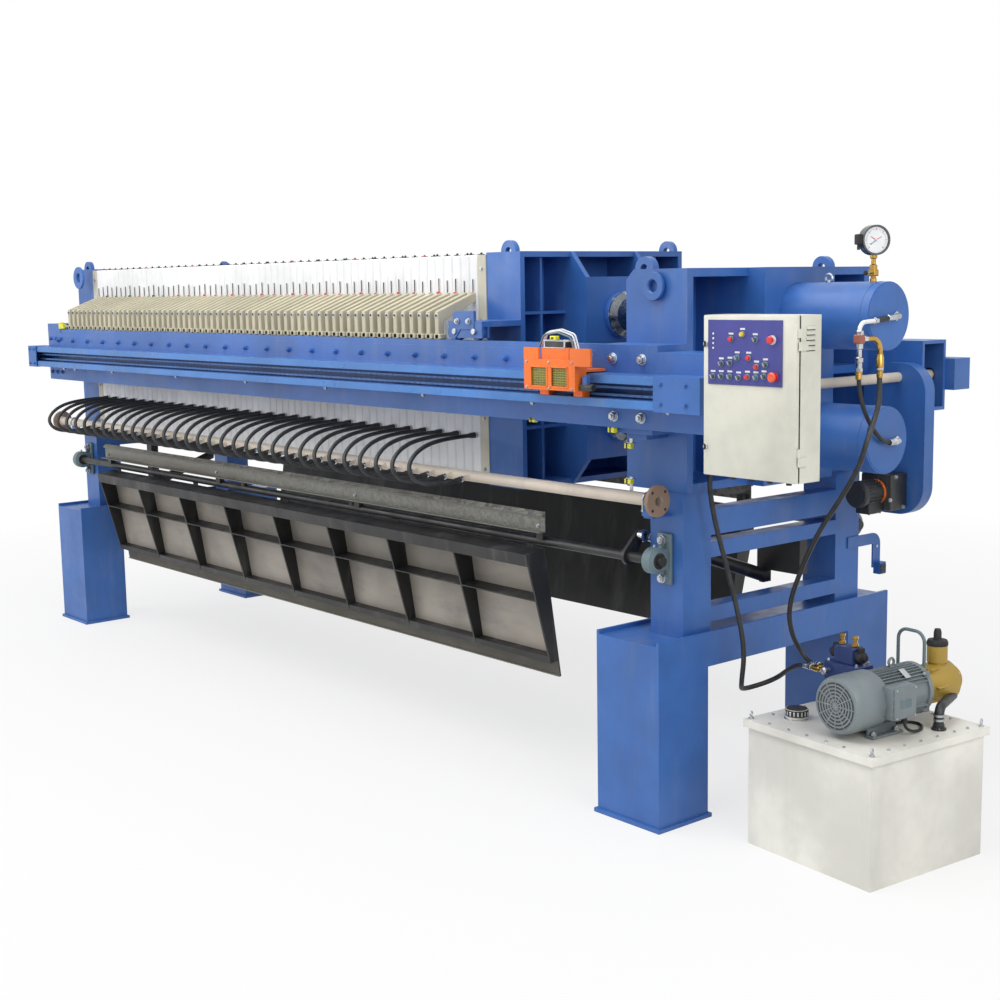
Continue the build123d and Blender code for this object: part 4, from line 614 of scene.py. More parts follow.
def add_plates(name, node, first):
    """Every second filter plate: chamfered body with a sloping handle on each side."""
    piece = Piece("tie_black")
    body = block(plate_pitch - 0.0025, 2 * plate_half, plate_top - plate_foot, 0.007)
    handle = cut_plate([(0, 100), (265, 0), (265, -150), (223, -150), (223, -52), (0, 48)], 0.031, 0.003)
    foot = block(0.058, 0.050, 0.030, 0.005)
    # A black disc stands for the hole at each handle's end, as painted shade of the hole.
    hole_shade = rod(0.008, 0.003, 12)
    washer = rod(0.014, 0.002, 14)
    tail = block(0.0036, 0.006, 0.070, 0.001)
    bead = turned([(0, -12), (8, -8), (12, 0), (8, 8), (0, 12)], 10)
    knot = turned([(0, -7), (6, -3), (7, 3), (3, 8), (0, 9)], 8)
    string = rod(0.0022, 0.045, 6)
    for index in range(first, plate_count, 2):
        x = plate_x(index)
        piece.add(body, at(x, 0, plate_middle), "plate_white")
        for side in sides:
            outward, outer = (0, side, 0), side * (plate_half + 0.265)
            slope = at(x - 0.0155, side * plate_half, strip_top + 0.150)
            piece.add(handle, slope @ facing(outward, (0, 0, 1), ahead), "handle_beige")
            piece.add(foot, at(x, side * 0.865, strip_top + 0.0155), "handle_beige")
            piece.add(washer, at(x, outer, strip_top + 0.128, outward), "zinc_bolt")
            piece.add(hole_shade, at(x, outer + side * 0.001, strip_top + 0.128, outward))
            lift = 0.004 * (index * 7 % 5)
            piece.add(tail, at(x, side * (plate_half + 0.006), 2.600 + lift))
            tie = "tie_red" if index > 14 and index % 5 or index % 4 == 1 else None
            piece.add(bead, at(x, side * (plate_half + 0.010), 2.553 + lift, to_far), tie)
        for step, y in enumerate((-0.560, -0.230, 0.110, 0.440)):
            y += 0.012 * ((index * 5 + step * 3) % 4 - 1.5)
            piece.add(knot, at(x, y, plate_top + 0.007), None if (index + step) % 9 else "tie_red")
            piece.add(string, at(x, y - 0.0225, plate_top + 0.004, to_far))
    piece.done(name, stands_for=[node])


def add_facing_bolts(name, station, body):
    """Bolts that hold a facing plate at both sides."""
    piece = Piece("zinc_bolt")
    for z, side in product((1.60, 1.88, inlet_z, 2.42, 2.70), sides):
        piece.add(small_bolt, at(station, side * plate_half, z, (0, side, 0)))
    piece.done(name, body)


def add_open_face(name, body, x, way, frame_parts, finish):
    """Filter face that shows when the head is back, with its centre eye and corner ports."""
    piece = Piece("tie_black")
    for y, z, *sizes in frame_parts:
        piece.add(block(*sizes), at(x, y, plate_middle + z), finish)
    front = x + 0.0003 * way
    # The eye's inner disc is black, as painted shade inside the eye's hole.
    for reach, thickness, colour in ((78, 0.25, "plate_white"), (60, 0.3, None)):
        eye = turned([(0, 0), (reach, 0), (reach, thickness), (0, thickness)], 36)
        piece.add(eye, at(front, 0, plate_middle, (way, 0, 0)), colour)
    # The corner port discs are black, as painted shade inside the ports.
    port = turned([(0, 0), (26, 0), (26, 0.3), (0, 0.3)], 24)
    for y, z in product((-0.580, 0.580), repeat=2):
        piece.add(port, at(x, y, plate_middle + z, (way, 0, 0)))
    piece.done(name, body)


# Frame and tracks


def add_frame_bolts():
    """Bolts of the beams, tracks, end boxes, seat and heads."""
    piece = Piece("blue_paint")
    nut = hex_bolt(0.016, 0.014)
    rosette = rod(0.026, 0.004, 20, 0.001)
    for side in sides:
        outward = (0, side, 0)
        for index in range(24):
            piece.add(nut, at(0.189 + 0.258 * index, side * beam_face, 2.238, outward, 0.4 * index))
        for x in (0.458, 0.653, 1.277, 2.241, 3.155, 4.066, 5.010, 5.904, 6.827):
            piece.add(middle_bolt, at(x, side * (beam_face + 0.085), track_foot, downwards), "zinc_bolt")
        for x, z in ((6.390, 2.258), (6.583, 2.256), (6.395, 1.985), (6.576, 1.985)):
            piece.add(rosette, at(x, side * beam_face, z, outward), "white_mark")
            piece.add(large_bolt, at(x, side * (beam_face + 0.004), z, outward), "zinc_bolt")
        for z, x in (*product((2.158, 2.070), (6.827, 6.980)), *product((2.06, 2.17), (-0.055, 0.025))):
            piece.add(small_bolt, at(x, side * 1.031, z, outward))
        for x, z in product((0.05, 0.14, 0.23), (1.99, 2.25)):
            piece.add(middle_bolt, at(x, side * beam_face, z, outward))
    piece.done("beam_and_track_bolts")


def add_track_faces():
    """Lighter paint on the tracks' outer bands, as a thin skin."""
    piece = Piece("track_blue")
    band = block(6.724, 0.0016, 0.038, 0.0006)
    for side, z in product(sides, (track_top - 0.021, track_foot + 0.021)):
        piece.add(band, at(3.419, side * (track_face + 0.0009), z))
    piece.done("track_face_skins")


def add_chains():
    """Roller chain in both tracks: side plates and rollers round the closed loop."""
    # The chain's light blue finish is painted light in the shaded groove.
    piece = Piece("chain_steel")
    pitch, radius = 0.0254, 0.018
    low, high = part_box("shifter_chains")
    start, end = low[0] + radius + 0.006, high[0] - radius - 0.006
    side_plate = block(0.030, 0.0022, 0.013, 0.002)
    roller = rod(0.0056, 0.013, 6)
    count = int((end - start) / pitch)
    for side in sides:
        y = side * chain_y
        for row, index in product((-radius, radius), range(count)):
            x = start + (index + 0.5) * (end - start) / count
            offset = 0.0062 if index % 2 else 0.0038
            for edge in (-offset, offset):
                piece.add(side_plate, spot(x, y + edge, chain_z + row))
            piece.add(roller, spot(x - pitch / 2, y - 0.0065, chain_z + row, to_far))
        for (x, first), step in product(((start, pi / 2), (end, -pi / 2)), range(1, 4)):
            angle = first + step * pi / 4
            link = spot(x + radius * cos(angle), y, chain_z + radius * sin(angle))
            for edge in (-0.0045, 0.0045):
                piece.add(side_plate, link @ spot(0, edge, 0) @ about("Y", -angle - pi / 2))
    piece.done("roller_chains", stands_for=["shifter_chains"])


def add_portal_details():
    """Anchor bolts and weld beads on the feet of the two portals."""
    piece = Piece("blue_paint")
    bead = rod(0.004, 0.345, 6)
    for start, side in product((0.0, 6.262), sides):
        for x, y in product((0.05, 0.37), (0.83, 0.60)):
            piece.add(large_bolt, at(start + x, side * y, 0.020), "zinc_bolt")
        for x in (0.0, 0.42):
            piece.add(bead, at(start + x, 0.5495 if side == far else -0.8945, 0.0215, to_far))
    piece.done("portal_feet_bolts")


# Shifter, heads and cylinders


def add_shifter_details(name, side):
    """Meshed windows, cable arch, light frame, sensor and bolts of one trolley."""
    piece = Piece("guard_orange")
    low_x, low_z, front = 5.985, track_top - 0.081, side * 1.1015
    top_z = low_z + 0.145
    for x in (low_x + 0.108, low_x + 0.252):
        # The mesh is a flat sheet; its openings are painted dark as shade.
        piece.add(block(0.106, 0.002, 0.084), at(x, side * 1.094, low_z + 0.063), "guard_mesh")
        for z in (0.016, 0.110):
            piece.add(block(0.120, 0.003, 0.008, 0.001), at(x, front, low_z + z))
        for edge in (-0.058, 0.058):
            piece.add(block(0.008, 0.003, 0.100, 0.001), at(x + edge, front, low_z + 0.063))
    for x, z in product((0.020, 0.180, 0.340), (0.010, 0.133)):
        piece.add(hex_bolt(0.006), at(low_x + x, side * 1.100, low_z + z, (0, side, 0)), "zinc_bolt")
    piece.add(block(0.150, 0.060, 0.030, 0.003), at(low_x + 0.205, side * 1.055, top_z + 0.070), "drive_black")
    for x in (0.135, 0.275):
        piece.add(block(0.006, 0.066, 0.042, 0.001), at(low_x + x, side * 1.055, top_z + 0.072), "white_mark")
    for z, y in product((0.056, 0.088), (1.022, 1.088)):
        piece.add(rod(0.003, 0.150, 8), at(low_x + 0.130, side * y, top_z + z, ahead), "chrome")
    arch = [(0.070, 0.070), (0.100, 0.128), (0.200, 0.140), (0.290, 0.118), (0.318, 0.040)]
    for y, lift, finish in (
        (1.030, 0.0, "white_mark"), (1.044, -0.006, "dial_white"), (1.058, -0.014, "bearing_grey"),
    ):
        line = [(x, side * y, z + lift) for x, z in arch]
        piece.add(bent_pipe(line, 0.0045, 0.03, 8), at(low_x, 0, top_z), finish)
    for shape, x, y, z, way, finish in (
        (block(0.040, 0.030, 0.022, 0.003), 0.190, 1.070, top_z + 0.100, None, "sensor_yellow"),
        (block(0.018, 0.031, 0.010, 0.002), 0.190, 1.071, top_z + 0.100, None, "tie_black"),
        (rod(0.009, 0.050, 12, 0.001), 0.385, 1.060, top_z + 0.032, ahead, "chrome"),
        (rod(0.012, 0.020, 12, 0.002), 0.400, 1.060, top_z + 0.032, ahead, "red_lens"),
        (rod(0.017, 0.085, 16, 0.003), 0.365, 1.065, low_z + 0.020, ahead, "drive_black"),
        (block(0.030, 0.028, 0.060, 0.004), 0.395, 1.060, low_z + 0.045, None, "blue_paint"),
    ):
        piece.add(shape, at(low_x + x, side * y, z, way), finish)
    piece.done(f"{name}_trolley_fittings", f"{name}_shifter")


def add_head_details():
    """Pull arms with their bolts, and the rods' flanges, on the moving head."""
    piece = Piece("zinc_bolt")
    arm = cut_plate([
        (0, 0), (30, 2), (58, 30), (75, 52), (190, 52), (190, 150),
        (30, 150), (14, 136), (14, 86), (34, 76), (18, 34), (0, 22),
    ], 0.020, 0.002)
    start = 5.163
    for side in sides:
        outward, y = (0, side, 0), side * 0.886 + 0.010
        piece.add(arm, at(start, y, strip_top + 0.004) @ facing(ahead, (0, 0, 1), to_near), "blue_paint")
        for x in (0.055, 0.150):
            piece.add(middle_bolt, at(start + x, side * 0.897, strip_top + 0.100, outward))
        for x in (0.030, 0.190):
            piece.add(rod(0.016, 0.014, 18, 0.002), at(start + x, side * 0.891, strip_top + 0.046, outward))
    flange = turned([
        (90.2, 150), (90.2, 158), (98, 158), (100, 152), (121.5, 152), (123.5, 150),
        (123.5, 124), (121.5, 122), (121.5, 1), (120.2, 1), (120.2, 150), (90.2, 150),
    ], 48)
    for z in (upper_axis, lower_axis):
        piece.add(flange, at(5.413, 0, z, ahead), "blue_paint")
        piece.ring(middle_bolt, 8, (0.1105, 0, 0), at(5.5645, 0, z, ahead), upright=True)
    piece.done("moving_head_fittings", "head")


def add_cylinder_details():
    """Weld seams, end-cap discs and the lifting eye of the cylinders."""
    piece = Piece("blue_paint")
    seam = turned([(159.2, 0), (160.7, 2), (159.2, 4)], 56)
    disc = turned([(0, 0), (151, 0), (151, 1.5), (149.5, 3), (0, 3)], 56)
    for z in (upper_axis, lower_axis):
        for shape, x in ((seam, 7.248), (seam, 6.395), (disc, cap_face)):
            piece.add(shape, at(x, 0, z, ahead))
    eye = turned([(16, -6), (22, -6), (26, 0), (22, 6), (16, 6), (16, -6)], 24)
    piece.add(eye, at(6.95, 0, upper_axis + 0.177, to_far), "zinc_bolt")
    piece.add(rod(0.012, 0.020, 12), at(6.95, 0, upper_axis + 0.150, (0, 0, 1)), "zinc_bolt")
    piece.done("cylinder_details")


def add_fittings():
    """Smooth pipes, tee, elbow and nuts between the cylinders' ports and the hoses."""
    piece = Piece("chrome")
    x = feed_end + cap_face + 0.032
    back = x - 0.032
    for route, radius, bend, steps, finish in (
        ([(back, 0.052, 2.4355), (x, 0.052, 2.4355), (x, -0.035, 2.4285)], 0.014, 0.024, 16, "zinc_bolt"),
        ([(x, -0.030, 2.4290), (x, -0.150, 2.4185)], 0.013, 0.1, 14, "hose_rubber"),
        ([(x, -0.145, 2.4190), (x, -0.26, 2.4135), (x, -0.26, 2.362)], 0.010, 0.042, 16, "white_mark"),
        ([(x, -0.238, 2.34), (x, -0.103, 2.34), (x, -0.103, 2.26)], 0.0125, 0.060, 16, "brass"),
        ([(back, 0.074, 1.8525), (x, 0.074, 1.8525), (x, 0.030, 1.8525)], 0.0125, 0.026, 16, "zinc_bolt"),
    ):
        piece.add(bent_pipe(route, radius, bend, steps), Matrix.Identity(4), finish)
    elbow = turned([(0, 0), (18, 0), (18, 50), (15, 56), (15, 64), (0, 64)], 18)
    coupling = turned([
        (0, 0), (15, 0), (15, 30), (19, 34), (19, 52), (13, 56), (13, 90), (18, 94), (18, 116), (0, 116),
    ], 16)
    for shape, y, z, way, finish in (
        (rod(0.016, 0.022, 6, 0.002), -0.028, 2.4285, to_near, None),
        (rod(0.016, 0.022, 6, 0.002), -0.150, 2.4185, to_far, None),
        (block(0.040, 0.044, 0.044, 0.006), -0.26, 2.340, None, "copper_red"),
        (rod(0.019, 0.020, 6, 0.002), -0.26, 2.358, None, None),
        (rod(0.019, 0.024, 6, 0.002), -0.236, 2.34, to_far, None),
        (elbow, -0.103, 2.203, None, "brass"), (coupling, -0.26, 2.203, None, None),
    ):
        piece.add(shape, spot(x, y, z, way), finish)
    for y, z in ((0.052, 2.4355), (0.074, 1.8525)):
        piece.add(rod(0.023, 0.012, 6, 0.002), spot(back, y, z, ahead))
    side_port = turned([(0, 0), (22, 0), (22, 12), (14, 15), (14, 41), (0, 41)], 16)
    piece.add(side_port, at(6.850, -0.159, lower_axis, to_near))
    piece.done("cylinder_pipes", stands_for=["cylinder_fittings"])


def add_gauge():
    """Contact pressure gauge: case, white dial with its scale, three pointers and the cock."""
    piece = Piece("tie_black")
    z, barrel = upper_axis + 0.349, upper_axis + 0.159
    stem = at(7.205, 0, 0)
    swing = stem @ about("Z", radians(-26))
    case = turned([
        (0, -27.5), (66, -27.5), (70, -22), (70, 18), (69.5, 27.5), (62, 27.5), (60, 20), (0, 20),
    ], 44)
    piece.add(case, swing @ spot(0, 0, z, ahead), "glass")
    piece.add(rod(0.0598, 0.0012, 40), swing @ spot(0.0195, 0, z, ahead), "dial_white")

    def on_dial(angle, radius, x):
        place = spot(x, radius * cos(angle), z + radius * sin(angle))
        return swing @ place @ about("X", angle - pi / 2)

    for step in range(31):
        tick = block(0.0006, 0.0012, 0.0045) if step % 5 else block(0.0006, 0.002, 0.009)
        piece.add(tick, on_dial(radians(225 - 9 * step), 0.050, 0.0211))
    for angle, length, finish in ((215, 0.040, None), (150, 0.034, "red_lens"), (30, 0.034, "red_lens")):
        piece.add(block(0.0008, 0.0026, length), on_dial(radians(angle), 0.42 * length, 0.0225), finish)
    piece.add(rod(0.006, 0.004, 16, 0.001), swing @ spot(0.0207, 0, z, ahead), "zinc_bolt")
    piece.add(block(0.040, 0.026, 0.048, 0.004), swing @ spot(0, -0.078, z + 0.004))
    piece.add(rod(0.007, 0.026, 10), swing @ spot(0, -0.078, z - 0.044))
    cock = turned([
        (0, 0), (16, 0), (16, 14), (12, 18), (12, 50), (18, 55), (18, 75), (11, 80), (11, 104), (17, 108),
        (17, 125), (0, 125),
    ], 18)
    piece.add(cock, stem @ spot(0, 0, barrel), "brass")
    piece.add(block(0.040, 0.034, 0.032, 0.004), stem @ spot(0, 0, barrel + 0.040), "brass")
    piece.add(rod(0.006, 0.040, 10), stem @ spot(0, -0.015, barrel + 0.040, to_near), "zinc_bolt")
    piece.add(rod(0.011, 0.012, 14, 0.003), stem @ spot(0, -0.052, barrel + 0.040, to_near))
    piece.done("contact_gauge", stands_for=["pressure_gauge"])


# Controls

cabinet_x, cabinet_z = 7.150, 1.790
cabinet_middle = (cabinet_x + 0.250, cabinet_z + 0.340)


def add_cabinet_door():
    """Cabinet door with its control panel, lamps, buttons, locks and hinges."""
    piece = Piece("chrome")
    x, z = cabinet_middle
    piece.add(block(0.498, 0.020, 0.678, 0.004, 2), at(x, door_face + 0.011, z), "cabinet_cream")
    piece.add(
        block(0.400, 0.004, 0.270, 0.0015), at(cabinet_x + 0.230, door_face - 0.002, cabinet_z + 0.525),
        "panel_violet",
    )

    def on_door(across, up, out=0.004):
        return at(cabinet_x + across, door_face - out, cabinet_z + up, to_near)

    ring = turned([(0, 0), (13.5, 0), (13.5, 3), (11.5, 5), (10.5, 5), (0, 5)], 20)
    cap = turned([(0, 4), (9.5, 4), (9.5, 12), (8, 14.5), (0, 15)], 20)
    key = block(0.004, 0.018, 0.006, 0.001)
    label = block(0.026, 0.0012, 0.008, 0.0003)
    base = turned([(0, 0), (19, 0), (19, 4), (0, 4)], 24)
    for colour, places in (
        ("dark_lens", (
            (289, 580), (106, 477), (154, 481), (344, 479), (60, 423), (106, 424), (201, 421), (337, 430),
        )),
        ("green_lens", ((193, 504), (153, 424), (294, 425))),
        ("red_lens", ((159, 581), (255, 504), (297, 469), (249, 426))),
        ("yellow_lens", ((221, 601),)),
    ):
        for across, up in places:
            place = on_door(across / 1000, up / 1000)
            piece.add(ring, place, "bearing_grey")
            piece.add(cap, place, colour)
            if colour in ("dark_lens", "green_lens"):
                piece.add(key, place @ spot(0, 0, 0.016) @ about("Z", 0.5), "panel_grey")
            above = at(cabinet_x + across / 1000, door_face - 0.0045, cabinet_z + up / 1000 + 0.022)
            piece.add(label, above, "white_mark")
    for across, up, seat, colour, size in (
        (0.379, 0.580, "white_mark", "red_lens", 16), (0.390, 0.430, "red_lens", "orange_lens", 20),
    ):
        head = turned([(0, 4), (10, 4), (10, 12), (size, 15), (size, 21), (size * 0.75, 25), (0, 26)], 24)
        piece.add(base, on_door(across, up), seat)
        piece.add(head, on_door(across, up), colour)
    for up in (0.542, 0.562, 0.582, 0.602):
        piece.add(rod(0.0045, 0.004, 12, 0.001), on_door(0.062, up), "dial_white")
    for up in (0.122, 0.558):
        piece.add(rod(0.012, 0.006, 18, 0.001), on_door(0.016, up, 0))
        piece.add(block(0.005, 0.026, 0.010, 0.0015), on_door(0.016, up, 0.008), "drive_black")
    for up in (0.1066, 0.5900):
        hinge_x, hinge_z = cabinet_x + 0.509, cabinet_z + up
        piece.add(rod(0.006, 0.036, 14), at(hinge_x, -1.092, hinge_z), "cabinet_cream")
        piece.add(block(0.012, 0.004, 0.036), at(hinge_x - 0.006, -1.094, hinge_z + 0.018), "cabinet_cream")
    piece.done("cabinet_door_and_controls", "door", stands_for=["cabinet_door"])


def add_cabinet_body():
    """Louvres and cable glands of the cabinet, and the mounting plate inside it."""
    piece = Piece("tie_black")
    hood = cut_plate([(0, 0), (6, 0), (0, 14)], 0.056)
    for step in range(5):
        z = 2.328 + 0.021 * step
        place = at(cabinet_x + 0.500, -1.043, z) @ facing(ahead, (0, 0, 1), to_far)
        piece.add(hood, place, "cabinet_cream")
        # Under each hood a thin black strip is painted shade of the louvre's opening.
        piece.add(block(0.001, 0.052, 0.004), at(cabinet_x + 0.5008, -1.015, z - 0.002))
    gland = turned([(0, 0), (16, 0), (16, -6), (12, -8), (12, -20), (0, -20)], 16)
    for x in (0.10, 0.20, 0.30, 0.40):
        piece.add(gland, at(cabinet_x + x, -1.02, cabinet_z))
    piece.done("cabinet_louvres_and_glands")
    piece = Piece("panel_grey")
    x, z = cabinet_middle
    piece.add(block(0.430, 0.003, 0.600, 0.001), at(x, -0.962, z), "zinc_bolt")
    for up in (0.085, 0.260, 0.430, 0.600):
        piece.add(block(0.430, 0.036, 0.030, 0.002), at(x, -0.981, cabinet_z + up))
    for shape, count, start, pitch, y, up, finish in (
        (block(0.0172, 0.060, 0.080, 0.002), 14, 0.085, 0.0178, -0.995, 0.515, "white_mark"),
        (block(0.006, 0.010, 0.014, 0.001), 14, 0.085, 0.0178, -1.028, 0.518, "tie_black"),
        (block(0.044, 0.062, 0.074, 0.003), 7, 0.080, 0.0560, -0.995, 0.345, "drive_black"),
        (block(0.036, 0.012, 0.030, 0.002), 7, 0.080, 0.0560, -1.030, 0.345, None),
        (block(0.0075, 0.036, 0.044, 0.001), 40, 0.072, 0.0084, -0.984, 0.170, None),
        (block(0.060, 0.060, 0.090, 0.004), 1, 0.395, 0, -0.995, 0.515, "drive_black"),
    ):
        for index in range(count):
            place = at(cabinet_x + start + pitch * index, y, cabinet_z + up)
            piece.add(shape, place, "green_lens" if index % 13 == 12 and count == 40 else finish)
    piece.done("cabinet_mounting_plate")


def add_sensors():
    """Position sensors on small brackets along the near beam and its post."""
    piece = Piece("sensor_yellow")
    for x, y, z in (
        (6.370, -0.882, 1.917), (6.398, -0.800, 1.836), (6.398, -0.800, 1.664), (5.800, -0.882, 1.934),
    ):
        piece.add(block(0.046, 0.024, 0.026, 0.003), at(x, y, z))
        piece.add(block(0.014, 0.0245, 0.0265, 0.002), at(x - 0.004, y, z), "tie_black")
        piece.add(block(0.040, 0.030, 0.004), at(x, y + 0.014, z + 0.014), "zinc_bolt")
    for height, z in ((0.130, 1.890), (0.090, 1.640)):
        piece.add(block(0.020, 0.004, height), at(6.398, -0.784, z), "zinc_bolt")
    piece.add(block(0.050, 0.036, 0.034, 0.004), at(0.262, -0.880, strip_top + 0.020))
    piece.add(block(0.030, 0.040, 0.050, 0.004), at(0.227, -0.880, strip_top + 0.028))
    piece.add(rod(0.006, 0.110, 10), at(0.282, -0.880, strip_top + 0.024, ahead), "chrome")
    piece.done("position_sensors")


# Under the pack


def add_manifold():
    """Squeeze-water pipe with round stubs, raised-face flanges and clamps."""
    piece = Piece("pipe_beige")
    start, length = -0.030, 6.635
    wall = turned([(25, 0), (30, 0), (30, length * 1000), (25, length * 1000), (25, 0)], 28)
    piece.add(wall, at(start, -pipe_y, pipe_z, ahead))
    flange = turned([(30, 0), (77, 0), (77, 17), (73, 19.5), (50, 19.5), (50, 20), (25, 20)], 36)
    # Black discs on the flange faces stand for the bolt holes, as painted shade.
    hole_shade = turned([(0, 0), (8, 0), (8, 1.2), (0, 1.2)], 14)
    weld = turned([(30, 0), (37, 0), (30, 8)], 28)
    for x, way, inward in ((start + length - 0.020, ahead, behind), (start + 0.020, behind, ahead)):
        face = at(x, -pipe_y, pipe_z, way)
        piece.add(flange, face, "flange_brown")
        piece.add(weld, at(x, -pipe_y, pipe_z, inward))
        piece.ring(hole_shade, 4, (0.060, 0, 0.0192), face, "tie_black", pi / 4, upright=True)
    stub = turned([(0, 20), (17, 28), (17, 34), (13, 38), (13, 75), (0, 75)], 14)
    for index in range(1, plate_count, 2):
        piece.add(stub, at(plate_x(index) + stub_shift, -pipe_y, pipe_z, stub_way))
    piece.done("squeeze_pipe", stands_for=["squeeze_manifold"])
    piece = Piece("zinc_bolt")
    legs = ((-0.036, -0.050), (-0.036, 0.036), (0.036, 0.036), (0.036, -0.050))
    hoop = bent_pipe([(0, y, z) for y, z in legs], 0.005, 0.0355, 10)
    for x in post_stations:
        piece.add(hoop, at(x, -pipe_y, pipe_z))
        for y in (-0.036, 0.036):
            piece.add(rod(0.009, 0.008, 6), at(x, -pipe_y + y, pipe_z - 0.052))
    piece.done("pipe_clamps")


def add_bearings():
    """Cast pillow blocks: round housing, neck, ribs and a bolted foot."""
    piece = Piece("bearing_grey")
    boss = turned([(0, 0), (26, 0), (24, 14), (0, 14)], 20)
    housing = turned([
        (24.5, -35), (46, -35), (50, -30), (64, -25), (64, 25), (50, 30), (46, 35), (24.5, 35),
    ], 32)
    seal = turned([(24.2, -35), (40, -35), (40, 35.5), (24.2, 35.5)], 28)
    rib = cut_plate([(0, 0), (50, 0), (0, 70)], 0.012, 0.002)
    wall = 0.683
    for side, x in product(sides, post_stations):
        outward = (0, side, 0)
        piece.add(block(0.090, 0.020, 0.250, 0.008, 2), at(x, side * (wall + 0.010), shaft_z))
        piece.add(block(0.058, 0.066, 0.104, 0.006), at(x, side * (wall + 0.045), shaft_z))
        piece.add(housing, at(x, side * shaft_y, shaft_z, ahead))
        piece.add(seal, at(x, side * shaft_y, shaft_z, ahead), "tie_black")
        for up in (-1, 1):
            z = shaft_z + up * 0.093
            piece.add(boss, at(x, side * (wall + 0.016), z, outward))
            piece.add(large_bolt, at(x, side * (wall + 0.030), z, outward), "zinc_bolt")
            corner = at(x - 0.006, side * (wall + 0.018), shaft_z + up * 0.030)
            piece.add(rib, corner @ facing(outward, (0, 0, up), ahead))
        piece.add(rod(0.007, 0.014, 10, 0.002), at(x, side * shaft_y, shaft_z + 0.063), "zinc_bolt")
    piece.done("pillow_blocks", stands_for=["flap_bearings"])


def add_flap_sheets(name, side):
    """Coated sheets between a flap's ribs, its pale lip and the lugs on its shaft."""
    piece = Piece("flap_black")
    body = f"{name}_flap_swing"
    lean = radians(8.6)
    hang = facing(ahead, (0, side * cos(lean), -sin(lean)), (0, -side * sin(lean), -cos(lean)))

    def on_flap(x, out, drop):
        return at(x, side * shaft_y, shaft_z) @ hang @ spot(0, out, drop)

    start, length, bays = 0.765, 4.982, 8
    bay = (length - 0.012) / bays
    middle = start + length / 2
    for index, (low, high) in product(range(bays), ((0.043, 0.294), (0.302, 0.619))):
        place = on_flap(start + 0.006 + bay * (index + 0.5), 0.0148, (low + high) / 2)
        piece.add(block(bay - 0.016, 0.0012, high - low, 0.0004), place, "flap_sheet")
        piece.add(block(length - 0.002, 0.0014, 0.084, 0.0005), on_flap(middle, 0.0149, 0.701), "pale_edge")
    piece.add(block(length - 0.002, 0.010, 0.006, 0.001), on_flap(middle, 0.0180, 0.742), "pale_edge")
    for index, drop in product(range(bays + 1), (0.060, 0.560)):
        out = (0.139 - 0.115 * (drop - 0.036)) / 2
        place = on_flap(start + 0.006 + bay * index, out, drop)
        piece.add(rod(0.007, 0.002, 8), place @ about("Y", pi / 2))
    for x in (2.732, 4.002):
        piece.add(block(0.044, 0.030, 0.080, 0.006), at(x, side * (shaft_y + 0.006), shaft_z + 0.048))
        piece.add(rod(0.012, 0.050, 10, 0.002), at(x - 0.025, side * (shaft_y + 0.010), shaft_z + 0.080, ahead))
    piece.done(f"{name}_flap_sheets", body)
    piece = Piece("zinc_bolt")
    for index in range(4):
        x, y = 0.772 + index * 1.656, side * (shaft_y + 0.039)
        piece.add(small_bolt, at(x, y, shaft_z + 0.085, (0, side, 0)))
    piece.done(f"{name}_gutter_bolts", body)


def add_drive():
    """Gear motor with its finned body, orange ring and box, and the gear case's bolts."""
    piece = Piece("drive_black")
    low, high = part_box("gear_motor")
    x, y, z = (low[0] + high[0]) / 2, high[1] - 0.140, high[2] - 0.095
    piece.add(block(0.188, 0.138, 0.188, 0.012, 2), spot(x, y + 0.070, z))
    piece.add(turned([(0, 0), (66, 0), (66, 12), (0, 12)], 30), spot(x, y, z, to_near), "guard_orange")
    body = turned([(0, 12), (60, 12), (60, 130), (68, 132), (68, 158), (60, 165), (0, 165)], 30)
    piece.add(body, spot(x, y, z, to_near))
    for index in range(20):
        place = spot(x, y - 0.072, z) @ about("Y", 2 * pi * index / 20)
        piece.add(block(0.003, 0.112, 0.012), place @ spot(0, 0, 0.062))
    piece.add(block(0.088, 0.108, 0.068, 0.006), spot(x, y - 0.055, z - 0.070))
    for u, v in product((-0.036, 0.036), (-0.101, -0.009)):
        piece.add(rod(0.004, 0.003, 8), spot(x + u, y + v, z - 0.104, downwards), "zinc_bolt")
    flank = spot(x + 0.094, y + 0.070, z, ahead)
    piece.ring(small_bolt, 4, (0.086, 0, 0), flank, "zinc_bolt", 0.4, upright=True)
    piece.done("shifter_gear_motor", stands_for=["gear_motor"])


def add_switch():
    """Roller lever and screws of the limit switch on the far post."""
    piece = Piece("zinc_bolt")
    low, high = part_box("limit_switch_bracket")
    x, y = high[0], high[1] - 0.033
    piece.add(block(0.010, 0.044, 0.050, 0.003), spot(x + 0.001, y, low[2] + 0.030), "drive_black")
    piece.add(rod(0.010, 0.014, 12), spot(x - 0.020, y, low[2] + 0.002, (0, 0, 1)))
    for z in (0.075, 0.165):
        piece.add(rod(0.008, 0.004, 6), spot(low[0] + 0.008, y, high[2] - z, ahead))
    piece.done("limit_switch_lever")


